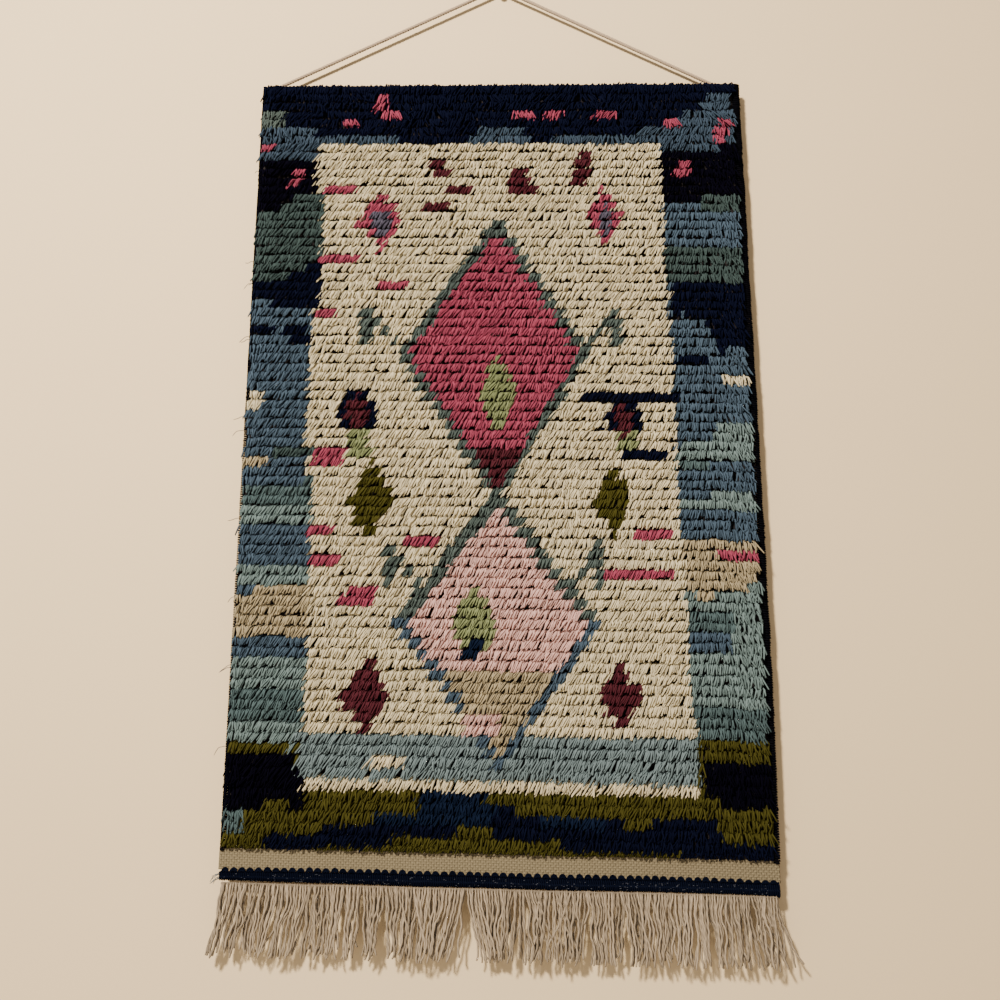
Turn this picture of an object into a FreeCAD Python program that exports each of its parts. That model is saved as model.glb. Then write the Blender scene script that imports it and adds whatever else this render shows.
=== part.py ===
"""Knotted-pile (rya) tapestry wall hanging on a rod and cord, with its wall screw.

Frame: X to the right, Y into the wall, Z up, millimetres. The wall's face is the plane y = 0 and
the origin is on the axis of the wall plug. The pile faces -Y.
"""
import FreeCAD, Part
import math
import os

os.makedirs("parts", exist_ok=True)
V = FreeCAD.Vector

# Wall plug and screw
PLUG_R = 3.0
PLUG_LENGTH = 30.0
PLUG_RIM_R = 4.2
PLUG_RIM_THICKNESS = 0.8
PLUG_SLOT_WIDTH = 0.9
PLUG_SLOT_LENGTH = 16.0
SHANK_R = 2.0
SHANK_REACH = 14.0
SHANK_IN_WALL = 24.0
SCREW_TIP_LENGTH = 4.0
SCREW_TIP_R = 0.4
HEAD_R = 4.3
HEAD_THICKNESS = 2.6
HEAD_FILLET = 1.2
RECESS_WIDTH = 1.0
RECESS_LENGTH = 4.4
RECESS_DEPTH = 1.5

# Hanging cord and rod
CORD_D = 3.6
CORD_Y = -10.0
CORD_GAP = 0.3
CORD_CROSSING_X = 270.0
ROD_D = 10.0
ROD_LENGTH = 586.0
ROD_BELOW_TOP = 11.0
ROD_END_CHAMFER = 1.0
KNOT_BELOW_EDGE = 9.0
KNOT_LUMP_R = 4.0
KNOT_TURNS = 2

# Woven rug body
RUG_WIDTH = 600.0
TOP_EDGE_Z = -147.0
WEAVE_BACK_Y = -19.5
WEAVE_THICKNESS = 2.5
SELVEDGE_WIDTH = 5.0
SELVEDGE_OVERHANG = 0.8

# Pile: rows of knots across the rug
PILE_LEFT = -294.0
PILE_RIGHT = 292.0
PILE_DEPTH = 14.0
KNOT_COLUMNS = 60
KNOT_ROWS = 80
ROW_PITCH = 11.66

# Rod sleeve sewn to the back
SLEEVE_HALF_LENGTH = 262.0
SLEEVE_CLEARANCE = 0.3
SLEEVE_THICKNESS = 1.2
SLEEVE_TOP_MARGIN = 1.0
SLEEVE_LOWER_FLANGE = 9.0
STITCH_LENGTH = 8.0
STITCH_PITCH = 15.0
STITCH_THICKNESS = 0.8
STITCH_INSET = 1.8

# End band, edging and fringe
END_BAND_HEIGHT = 18.0
EDGING_HEIGHT = 13.0
EDGING_BULGE = 1.5
TOOTH_PITCH = 9.0
TOOTH_R = 3.6
TOOTH_THICKNESS = 1.5
HEADING_D = 3.0
FRINGE_LENGTH = 72.0
FRINGE_ROOT_GAP = 3.2
FRINGE_LAYER = 2.4
FRINGE_LAYER_GAP = 0.6
FRINGE_SPREAD = 16.0

# Worked out from the sizes above
CORD_R = CORD_D / 2
ROD_R = ROD_D / 2
ROD_Z = TOP_EDGE_Z - ROD_BELOW_TOP
WEAVE_FRONT_Y = WEAVE_BACK_Y - WEAVE_THICKNESS
COLUMN_PITCH = (PILE_RIGHT - PILE_LEFT) / KNOT_COLUMNS
PILE_BOTTOM_Z = TOP_EDGE_Z - KNOT_ROWS * ROW_PITCH
BAND_BOTTOM_Z = PILE_BOTTOM_Z - END_BAND_HEIGHT
EDGING_BOTTOM_Z = BAND_BOTTOM_Z - EDGING_HEIGHT
HEADING_BOTTOM_Z = EDGING_BOTTOM_Z - HEADING_D
WEAVE_HALF_WIDTH = RUG_WIDTH / 2 - SELVEDGE_WIDTH
WEAVE_MIDDLE_Y = (WEAVE_BACK_Y + WEAVE_FRONT_Y) / 2

# The pile's pattern. Corners are (column, row) of the knots, counted from the top left corner.
# Where two outlines meet, the one named first keeps the ground.
PATTERN = {
    "red_diamond_leaf_pile": [[(30.0, 31.0), (32.4, 34.8), (30.6, 38.8), (29.0, 38.8), (27.6, 34.8)]],
    "red_diamond_tip_pile": [[(28.2, 41.0), (31.5, 41.0), (29.9, 44.0)]],
    "red_diamond_pile": [[(29.6, 18.0), (39.7, 30.5), (29.9, 43.0), (19.4, 30.5)]],
    "red_diamond_outline_pile": [[(29.6, 15.5), (41.3, 30.5), (29.8, 45.2), (17.8, 30.5)]],
    "pink_diamond_leaf_pile": [[(27.0, 55.2), (30.0, 58.6), (28.2, 61.6), (25.6, 61.6), (24.8, 58.0)]],
    "pink_diamond_base_pile": [[(22.8, 63.0), (37.7, 63.0), (30.3, 70.2)]],
    "pink_diamond_pile": [[(29.9, 47.2), (40.6, 58.6), (30.3, 70.2), (19.4, 58.6)]],
    "pink_diamond_outline_pile": [[(29.9, 45.2), (42.0, 58.6), (30.3, 71.6), (18.0, 58.6)]],
    "hook_pile": [
        [(13.2, 26.0), (14.4, 26.0), (18.2, 29.4), (18.2, 30.4), (13.8, 29.6)],
        [(45.1, 25.8), (43.9, 25.8), (40.9, 29.4), (40.9, 30.4), (44.6, 29.4)],
        [(16.6, 50.8), (17.9, 50.8), (20.8, 54.0), (20.8, 55.4), (17.0, 55.2)],
        [(42.4, 50.6), (41.2, 50.6), (38.8, 54.0), (38.8, 55.4), (42.2, 55.2)],
    ],
    "lozenge_pile": [
        [(15.3, 12.6), (18.2, 16.6), (15.3, 20.4), (12.0, 16.6)],
        [(43.3, 12.2), (45.8, 15.8), (43.3, 19.4), (41.2, 15.8)],
    ],
    "maroon_fleck_pile": [
        [(21.0, 9.6), (24.0, 9.6), (24.0, 10.8), (21.0, 10.8)],
        [(24.0, 11.8), (27.0, 11.8), (27.0, 12.8), (24.0, 12.8)],
        [(20.8, 13.5), (24.0, 13.5), (24.0, 14.6), (20.8, 14.6)],
        [(33.0, 9.6), (35.3, 12.6), (31.1, 12.6)],
        [(40.2, 8.4), (42.0, 8.4), (41.6, 11.2), (39.2, 11.2)],
    ],
    "pink_dash_pile": [
        [(7.2, 11.6), (12.0, 11.6), (12.0, 12.8), (7.2, 12.8)],
        [(7.7, 19.8), (12.5, 19.8), (12.5, 21.0), (7.7, 21.0)],
        [(15.0, 23.0), (19.0, 23.0), (19.0, 24.0), (15.0, 24.0)],
        [(7.2, 25.6), (10.2, 25.6), (10.2, 26.8), (7.2, 26.8)],
        [(7.7, 41.4), (11.5, 41.4), (11.5, 42.6), (7.7, 42.6)],
        [(7.4, 48.8), (10.6, 48.8), (10.6, 50.0), (7.4, 50.0)],
        [(7.8, 51.5), (11.8, 51.5), (11.8, 52.6), (7.8, 52.6)],
        [(18.8, 49.7), (23.0, 49.7), (23.0, 50.8), (18.8, 50.8)],
        [(11.5, 55.3), (16.0, 55.3), (16.0, 56.5), (11.5, 56.5)],
        [(45.5, 49.4), (50.4, 49.4), (50.4, 50.5), (45.5, 50.5)],
        [(42.4, 53.0), (50.4, 53.0), (50.4, 54.1), (42.4, 54.1)],
    ],
    "navy_dash_pile": [
        [(40.1, 35.1), (51.6, 35.1), (51.6, 36.3), (40.1, 36.3)],
        [(44.6, 41.4), (49.7, 41.4), (49.7, 42.5), (44.6, 42.5)],
    ],
    "flower_pile": [
        [(13.2, 34.4), (16.0, 37.4), (14.0, 41.4), (12.4, 41.4), (10.4, 37.4)],
        [(45.2, 36.4), (47.5, 38.4), (46.0, 41.3), (44.4, 41.3), (42.9, 38.4)],
    ],
    "olive_leaf_pile": [
        [(14.6, 42.3), (18.1, 46.4), (15.4, 49.8), (12.3, 46.0)],
        [(43.8, 42.6), (45.8, 45.8), (43.6, 49.6), (41.3, 45.8)],
    ],
    "maroon_leaf_pile": [
        [(15.2, 61.8), (17.8, 65.0), (15.2, 68.8), (12.2, 65.0)],
        [(43.8, 61.6), (46.3, 65.0), (43.8, 68.5), (41.5, 65.0)],
    ],
    "corner_block_pile": [
        [(0, 8.8), (6.8, 8.8), (6.8, 12.8), (0, 15.0)],
        [(52, 7.5), (60, 7.5), (60, 14.1), (52, 14.1)],
        [(0, 71.4), (7, 70.8), (8.6, 72.4), (9.0, 75.3), (0, 75.3)],
        [(52, 71.2), (60, 71.2), (60, 75.0), (52, 74.6)],
    ],
    "bottom_band_pile": [[(7, 69.4), (52, 69.4), (52, 73.8), (8.6, 73.8), (8.6, 72.4), (7, 70.8)]],
    "field_pile": [[(7, 7.5), (52, 7.5), (52, 69.4), (7, 69.4)]],
    "top_border_pile": [[(0, 0), (60, 0), (60, 7.5), (0, 7.5)]],
    "left_border_pile": [[(0, 7.5), (8, 7.5), (8, 73.8), (0, 73.8)]],
    "right_border_pile": [[(52, 7.5), (60, 7.5), (60, 73.8), (52, 73.8)]],
    "bottom_border_pile": [[(0, 73.8), (60, 73.8), (60, 80), (0, 80)]],
}


def save(node, shape):
    """Writes one node and prints its solids and volume."""
    if not shape.isValid():
        raise ValueError(node + " is not a valid shape")
    shape.exportStep("parts/" + node + ".step")
    print(f"{node}: {len(shape.Solids)} solid(s), {shape.Volume:.1f} mm3")


def group(solids):
    """Separate solids that share a node."""
    return solids[0] if len(solids) == 1 else Part.makeCompound(solids)


def cylinder_y(radius, y_from, y_to):
    """Cylinder on the screw's axis."""
    return Part.makeCylinder(radius, y_to - y_from, V(0, y_from, 0), V(0, 1, 0))


def block(x_from, x_to, y_from, y_to, z_from, z_to):
    return Part.makeBox(x_to - x_from, y_to - y_from, z_to - z_from, V(x_from, y_from, z_from))


def plug():
    """Expanding plug: a rimmed tube with a slot through its far half."""
    bore_depth = SHANK_IN_WALL + SCREW_TIP_LENGTH
    shell = cylinder_y(PLUG_R, 0, PLUG_LENGTH)
    shell = shell.fuse(cylinder_y(PLUG_RIM_R, -PLUG_RIM_THICKNESS, 0))
    shell = shell.cut(cylinder_y(SHANK_R, -PLUG_RIM_THICKNESS, bore_depth))
    slot_from = PLUG_LENGTH - PLUG_SLOT_LENGTH
    slot_half = PLUG_SLOT_WIDTH / 2
    slot = block(-PLUG_R, PLUG_R, slot_from, PLUG_LENGTH - SHANK_R, -slot_half, slot_half)
    return shell.cut(slot).removeSplitter()


def screw():
    """Round-headed screw with a cross recess; the cord hangs on its smooth neck."""
    head_front = -SHANK_REACH - HEAD_THICKNESS
    head = cylinder_y(HEAD_R, head_front, -SHANK_REACH)
    rim = [e for e in head.Edges if abs(e.BoundBox.YMax - head_front) < 1e-6 and e.isClosed()]
    head = head.makeFillet(HEAD_FILLET, rim)
    tip = Part.makeCone(SHANK_R, SCREW_TIP_R, SCREW_TIP_LENGTH, V(0, SHANK_IN_WALL, 0), V(0, 1, 0))
    body = head.fuse([cylinder_y(SHANK_R, -SHANK_REACH, SHANK_IN_WALL), tip])
    long_half = RECESS_LENGTH / 2
    short_half = RECESS_WIDTH / 2
    recess_back = head_front + RECESS_DEPTH
    for half_x, half_z in ((long_half, short_half), (short_half, long_half)):
        body = body.cut(block(-half_x, half_x, head_front, recess_back, -half_z, half_z))
    return body.removeSplitter()


def cord_line():
    """Slope of the taut cord, the radius it takes round the screw, and its knots' centre."""
    bend_r = SHANK_R + CORD_GAP + CORD_R
    reach = math.hypot(CORD_CROSSING_X, TOP_EDGE_Z)
    slope = math.atan2(-TOP_EDGE_Z, CORD_CROSSING_X) + math.asin(bend_r / reach)
    knot_x = CORD_CROSSING_X + KNOT_BELOW_EDGE * math.cos(slope)
    knot_z = TOP_EDGE_Z - KNOT_BELOW_EDGE * math.sin(slope)
    return slope, bend_r, knot_x, knot_z


def cord():
    """One cord: a straight run up to the screw, an arc over its neck, a straight run down."""
    slope, bend_r, knot_x, knot_z = cord_line()
    touch_x = bend_r * math.sin(slope)
    touch_z = bend_r * math.cos(slope)
    start = V(-knot_x, CORD_Y, knot_z)
    rise = V(-touch_x, CORD_Y, touch_z)
    top = V(0, CORD_Y, bend_r)
    fall = V(touch_x, CORD_Y, touch_z)
    end = V(knot_x, CORD_Y, knot_z)
    edges = [
        Part.LineSegment(start, rise).toShape(),
        Part.Arc(rise, top, fall).toShape(),
        Part.LineSegment(fall, end).toShape(),
    ]
    path = Part.Wire(edges)
    profile = Part.Wire([Part.Circle(start, rise - start, CORD_R).toShape()])
    tube = path.makePipeShell([profile], True, False)
    expected = math.pi * CORD_R ** 2 * path.Length
    print(f"cord: {path.Length:.1f} mm long, bend radius {bend_r:.1f} mm over the screw,")
    print(f"cord: volume {tube.Volume:.1f} mm3, section times length {expected:.1f} mm3")
    return tube


def rod_stock(radius, x_from, x_to):
    return Part.makeCylinder(radius, x_to - x_from, V(x_from, CORD_Y, ROD_Z), V(1, 0, 0))


def rod():
    stick = rod_stock(ROD_R, -ROD_LENGTH / 2, ROD_LENGTH / 2)
    ends = [e for e in stick.Edges if e.BoundBox.XLength < 1e-6]
    return stick.makeChamfer(ROD_END_CHAMFER, ends)


def cord_knot(side):
    """Turns of cord round the rod's end, with the lump of the knot on top."""
    _, _, knot_x, knot_z = cord_line()
    width = KNOT_TURNS * CORD_D
    middle = side * (knot_x + CORD_R)
    turns = rod_stock(ROD_R + CORD_D, middle - width / 2, middle + width / 2)
    lump = Part.makeSphere(KNOT_LUMP_R, V(side * knot_x, CORD_Y, knot_z))
    return turns.fuse(lump).cut(rod_stock(ROD_R, -ROD_LENGTH / 2, ROD_LENGTH / 2)).removeSplitter()


def sleeve():
    """Strip of webbing round the rod's back, open at both ends, sewn on above and below it."""
    inner_r = ROD_R + SLEEVE_CLEARANCE
    outer_r = inner_r + SLEEVE_THICKNESS
    flange_y = WEAVE_BACK_Y + SLEEVE_THICKNESS
    top = TOP_EDGE_Z - SLEEVE_TOP_MARGIN
    bottom = ROD_Z - outer_r - SLEEVE_LOWER_FLANGE

    def at(y, z):
        return V(-SLEEVE_HALF_LENGTH, y, z)

    outer = [at(WEAVE_BACK_Y, top), at(flange_y, top), at(flange_y, ROD_Z + outer_r)]
    outer.append(at(CORD_Y, ROD_Z + outer_r))
    under = [at(CORD_Y, ROD_Z - outer_r), at(flange_y, ROD_Z - outer_r), at(flange_y, bottom)]
    under += [at(WEAVE_BACK_Y, bottom), at(WEAVE_BACK_Y, ROD_Z - inner_r), at(CORD_Y, ROD_Z - inner_r)]
    back = [at(CORD_Y, ROD_Z + inner_r), at(WEAVE_BACK_Y, ROD_Z + inner_r), at(WEAVE_BACK_Y, top)]
    edges = []
    for run in (outer, under, back):
        edges += [Part.LineSegment(a, b).toShape() for a, b in zip(run, run[1:])]
    edges.append(Part.Arc(outer[-1], at(CORD_Y + outer_r, ROD_Z), under[0]).toShape())
    edges.append(Part.Arc(under[-1], at(CORD_Y + inner_r, ROD_Z), back[0]).toShape())
    outline = Part.Wire(Part.__sortEdges__(edges))
    return Part.Face(outline).extrude(V(2 * SLEEVE_HALF_LENGTH, 0, 0))


def sleeve_stitches():
    """Two rows of hand stitches on the sleeve's flanges."""
    back_y = WEAVE_BACK_Y + SLEEVE_THICKNESS
    upper_z = TOP_EDGE_Z - SLEEVE_TOP_MARGIN - STITCH_INSET
    lower_z = ROD_Z - ROD_R - SLEEVE_CLEARANCE - SLEEVE_THICKNESS - SLEEVE_LOWER_FLANGE / 2
    count = int((2 * SLEEVE_HALF_LENGTH - STITCH_LENGTH) / STITCH_PITCH)
    first = -(count - 1) * STITCH_PITCH / 2
    half = STITCH_THICKNESS / 2
    stitches = []
    for z in (upper_z, lower_z):
        for i in range(count):
            x = first + i * STITCH_PITCH - STITCH_LENGTH / 2
            end = x + STITCH_LENGTH
            stitches.append(block(x, end, back_y, back_y + STITCH_THICKNESS, z - half, z + half))
    return group(stitches)


def selvedge(side):
    """Overcast edge of the weave, a little thicker than the cloth."""
    inner = side * WEAVE_HALF_WIDTH
    outer = side * RUG_WIDTH / 2
    front = WEAVE_FRONT_Y - SELVEDGE_OVERHANG
    back = WEAVE_BACK_Y + SELVEDGE_OVERHANG
    return block(min(inner, outer), max(inner, outer), front, back, PILE_BOTTOM_Z, TOP_EDGE_Z)


def pile_face(corners):
    """Flat outline on the weave's front face, from knot columns and rows."""
    points = []
    for column, row in corners:
        points.append(V(PILE_LEFT + column * COLUMN_PITCH, WEAVE_FRONT_Y, TOP_EDGE_Z - row * ROW_PITCH))
    return Part.Face(Part.makePolygon(points + points[:1]))


def pile():
    """Pile of each part of the pattern, as slabs of one depth that meet edge to edge."""
    taken = None
    for node, outlines in PATTERN.items():
        faces = [pile_face(corners) for corners in outlines]
        area = faces[0] if len(faces) == 1 else faces[0].multiFuse(faces[1:])
        free = area if taken is None else area.cut(taken)
        slabs = [face.extrude(V(0, -PILE_DEPTH, 0)) for face in free.Faces]
        save(node, group(slabs))
        taken = area if taken is None else taken.fuse(area)


def edging_teeth():
    """Half-round stitch heads along the top of the edging, on the end band's face."""
    count = int((RUG_WIDTH - 2 * TOOTH_R) / TOOTH_PITCH) + 1
    first = -(count - 1) * TOOTH_PITCH / 2
    teeth = []
    for i in range(count):
        x = first + i * TOOTH_PITCH
        start = V(x, WEAVE_FRONT_Y - TOOTH_THICKNESS, BAND_BOTTOM_Z)
        disc = Part.makeCylinder(TOOTH_R, TOOTH_THICKNESS, start, V(0, 1, 0))
        low = block(x - TOOTH_R, x + TOOTH_R, start.y, WEAVE_FRONT_Y, BAND_BOTTOM_Z - TOOTH_R, BAND_BOTTOM_Z)
        teeth.append(disc.cut(low))
    return group(teeth)


def heading():
    """Cord of twined warp ends that the fringe hangs from."""
    half = RUG_WIDTH / 2 - HEADING_D
    start = V(-half, WEAVE_MIDDLE_Y, EDGING_BOTTOM_Z - HEADING_D / 2)
    return Part.makeCylinder(HEADING_D / 2, 2 * half, start, V(1, 0, 0))


def fringe_layer(y_from, y_to):
    """One layer of hanging strands, spreading towards their ends."""
    top = HEADING_BOTTOM_Z - FRINGE_ROOT_GAP
    bottom = HEADING_BOTTOM_Z - FRINGE_LENGTH
    near = RUG_WIDTH / 2 - HEADING_D
    far = near + FRINGE_SPREAD
    corners = [V(-near, y_from, top), V(near, y_from, top), V(far, y_from, bottom), V(-far, y_from, bottom)]
    return Part.Face(Part.makePolygon(corners + corners[:1])).extrude(V(0, y_to - y_from, 0))


save("wall_plug", plug())
save("wall_screw", screw())
save("hanging_cord", cord())
save("hanging_rod", rod())
save("cord_knot_left", cord_knot(-1))
save("cord_knot_right", cord_knot(1))
save("rod_sleeve", sleeve())
save("sleeve_stitches", sleeve_stitches())
save("ground_weave", block(-WEAVE_HALF_WIDTH, WEAVE_HALF_WIDTH, WEAVE_FRONT_Y, WEAVE_BACK_Y,
                           PILE_BOTTOM_Z, TOP_EDGE_Z))
save("selvedge_left", selvedge(-1))
save("selvedge_right", selvedge(1))
pile()
save("end_band", block(-RUG_WIDTH / 2, RUG_WIDTH / 2, WEAVE_FRONT_Y, WEAVE_BACK_Y,
                       BAND_BOTTOM_Z, PILE_BOTTOM_Z))
save("edging_band", block(-RUG_WIDTH / 2, RUG_WIDTH / 2, WEAVE_FRONT_Y - EDGING_BULGE,
                          WEAVE_BACK_Y + EDGING_BULGE, EDGING_BOTTOM_Z, BAND_BOTTOM_Z))
save("edging_teeth", edging_teeth())
save("fringe_heading", heading())
save("fringe_front", fringe_layer(WEAVE_MIDDLE_Y - FRINGE_LAYER_GAP / 2 - FRINGE_LAYER,
                                  WEAVE_MIDDLE_Y - FRINGE_LAYER_GAP / 2))
save("fringe_back", fringe_layer(WEAVE_MIDDLE_Y + FRINGE_LAYER_GAP / 2,
                                 WEAVE_MIDDLE_Y + FRINGE_LAYER_GAP / 2 + FRINGE_LAYER))
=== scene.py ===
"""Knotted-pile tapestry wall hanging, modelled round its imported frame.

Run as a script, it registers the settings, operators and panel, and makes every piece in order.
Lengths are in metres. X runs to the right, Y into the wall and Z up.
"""

import math
import random

import bmesh
import bpy
from bpy.props import FloatProperty, FloatVectorProperty, IntProperty, PointerProperty
from mathutils import Matrix, Vector, noise


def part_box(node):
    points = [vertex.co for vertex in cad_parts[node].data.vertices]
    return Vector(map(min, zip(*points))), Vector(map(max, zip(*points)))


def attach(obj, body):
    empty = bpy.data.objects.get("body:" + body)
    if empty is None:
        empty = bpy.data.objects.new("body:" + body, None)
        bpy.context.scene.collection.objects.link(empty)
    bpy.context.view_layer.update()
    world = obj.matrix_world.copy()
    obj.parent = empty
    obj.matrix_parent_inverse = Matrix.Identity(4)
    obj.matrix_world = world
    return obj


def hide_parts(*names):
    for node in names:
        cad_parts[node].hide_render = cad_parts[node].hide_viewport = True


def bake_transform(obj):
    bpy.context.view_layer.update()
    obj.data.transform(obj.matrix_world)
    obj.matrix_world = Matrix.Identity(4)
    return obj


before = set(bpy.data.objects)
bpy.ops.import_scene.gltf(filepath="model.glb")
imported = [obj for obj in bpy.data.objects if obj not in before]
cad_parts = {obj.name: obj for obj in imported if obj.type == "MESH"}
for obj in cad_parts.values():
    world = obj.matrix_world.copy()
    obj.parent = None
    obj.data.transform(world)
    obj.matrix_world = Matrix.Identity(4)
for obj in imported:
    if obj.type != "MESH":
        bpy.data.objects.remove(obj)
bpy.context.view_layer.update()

bl_info = {
    "name": "Knotted-Pile Wall Hanging",
    "version": (1, 0, 0),
    "blender": (4, 5, 0),
    "location": "3D View > Sidebar > Wall Hanging",
    "description": "Ties, weaves and hangs a knotted-pile rug on its rod, cord and screw",
    "category": "Add Mesh",
}

MM = 0.001
WELD = 1e-7
FULL_TURN = 2 * math.pi
OUT = Vector((0, -1, 0))
UP = Vector((0, 0, 1))
ACROSS = Vector((1, 0, 0))

# Places of the frame's parts
WEAVE_LOW, WEAVE_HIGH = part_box("ground_weave")
BAND_LOW, BAND_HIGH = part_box("end_band")
RUG_LEFT = BAND_LOW.x
RUG_RIGHT = BAND_HIGH.x
EDGING_LOW, EDGING_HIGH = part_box("edging_band")
TEETH_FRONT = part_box("edging_teeth")[0].y
HEADING_LOW, HEADING_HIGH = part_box("fringe_heading")
ROD_LOW, ROD_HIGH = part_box("hanging_rod")
SLEEVE_LOW, SLEEVE_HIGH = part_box("rod_sleeve")
STITCH_LOW, STITCH_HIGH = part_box("sleeve_stitches")
PILE_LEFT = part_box("left_border_pile")[0].x
PILE_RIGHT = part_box("right_border_pile")[1].x
PILE_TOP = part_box("top_border_pile")[1].z
PILE_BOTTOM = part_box("bottom_border_pile")[0].z
WEAVE_FRONT = WEAVE_LOW.y
WEAVE_MIDDLE = (WEAVE_LOW.y + WEAVE_HIGH.y) / 2
ROD_AXIS_Y = (ROD_LOW.y + ROD_HIGH.y) / 2
ROD_AXIS_Z = (ROD_LOW.z + ROD_HIGH.z) / 2
RUG_DEPTH = PILE_TOP - EDGING_LOW.z

# The ground cloth and the end band meet here, under the last row of pile
BAND_SEAM = BAND_HIGH.z + 4.5 * MM

# How far the top edge's right corner sits above its middle
TOP_TIP = 2.0 * MM

# The pattern is drawn in columns and rows of knots, and is woven a little wider than it is drawn
PILE_COLUMNS = 60
PILE_ROWS = 80
PATTERN_SPREAD = 1.008

# Rows and columns where the wool hangs in another way
FLUFFY_TOP_ROWS = 7
SHAGGY_FROM_ROW = 71
LONG_FROM_ROW = 74
SHAGGY_FROM_COLUMN = 57
FLATTENED_LAST_ROWS = 3

# The field is tied in pieces of so many rows
FIELD_PIECE_ROWS = 18

# Where two clumps of the fringe part, left of the middle
FRINGE_GAP = RUG_LEFT * 0.12

# The cord's route: up from the left knot, over the screw's neck and down to the right knot
CORD_ROUTE = [
    (-0.28270, -0.010, -0.14280),
    (-0.02119, -0.010, -0.00655),
    (-0.00180, -0.010, 0.00440),
    (0.00180, -0.010, 0.00440),
    (0.02119, -0.010, -0.00655),
    (0.28270, -0.010, -0.14280),
]
CORD_LENGTH = 0.637
CORD_DIAMETER = 3.6 * MM
CORD_THICKNESS = 4.4 * MM


# ---------------------------------------------------------------- pattern

def block(left, right, top, bottom):
    """Outline of a rectangle of knots, from its columns and rows."""
    return [(left, top), (right, top), (right, bottom), (left, bottom)]


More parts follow.
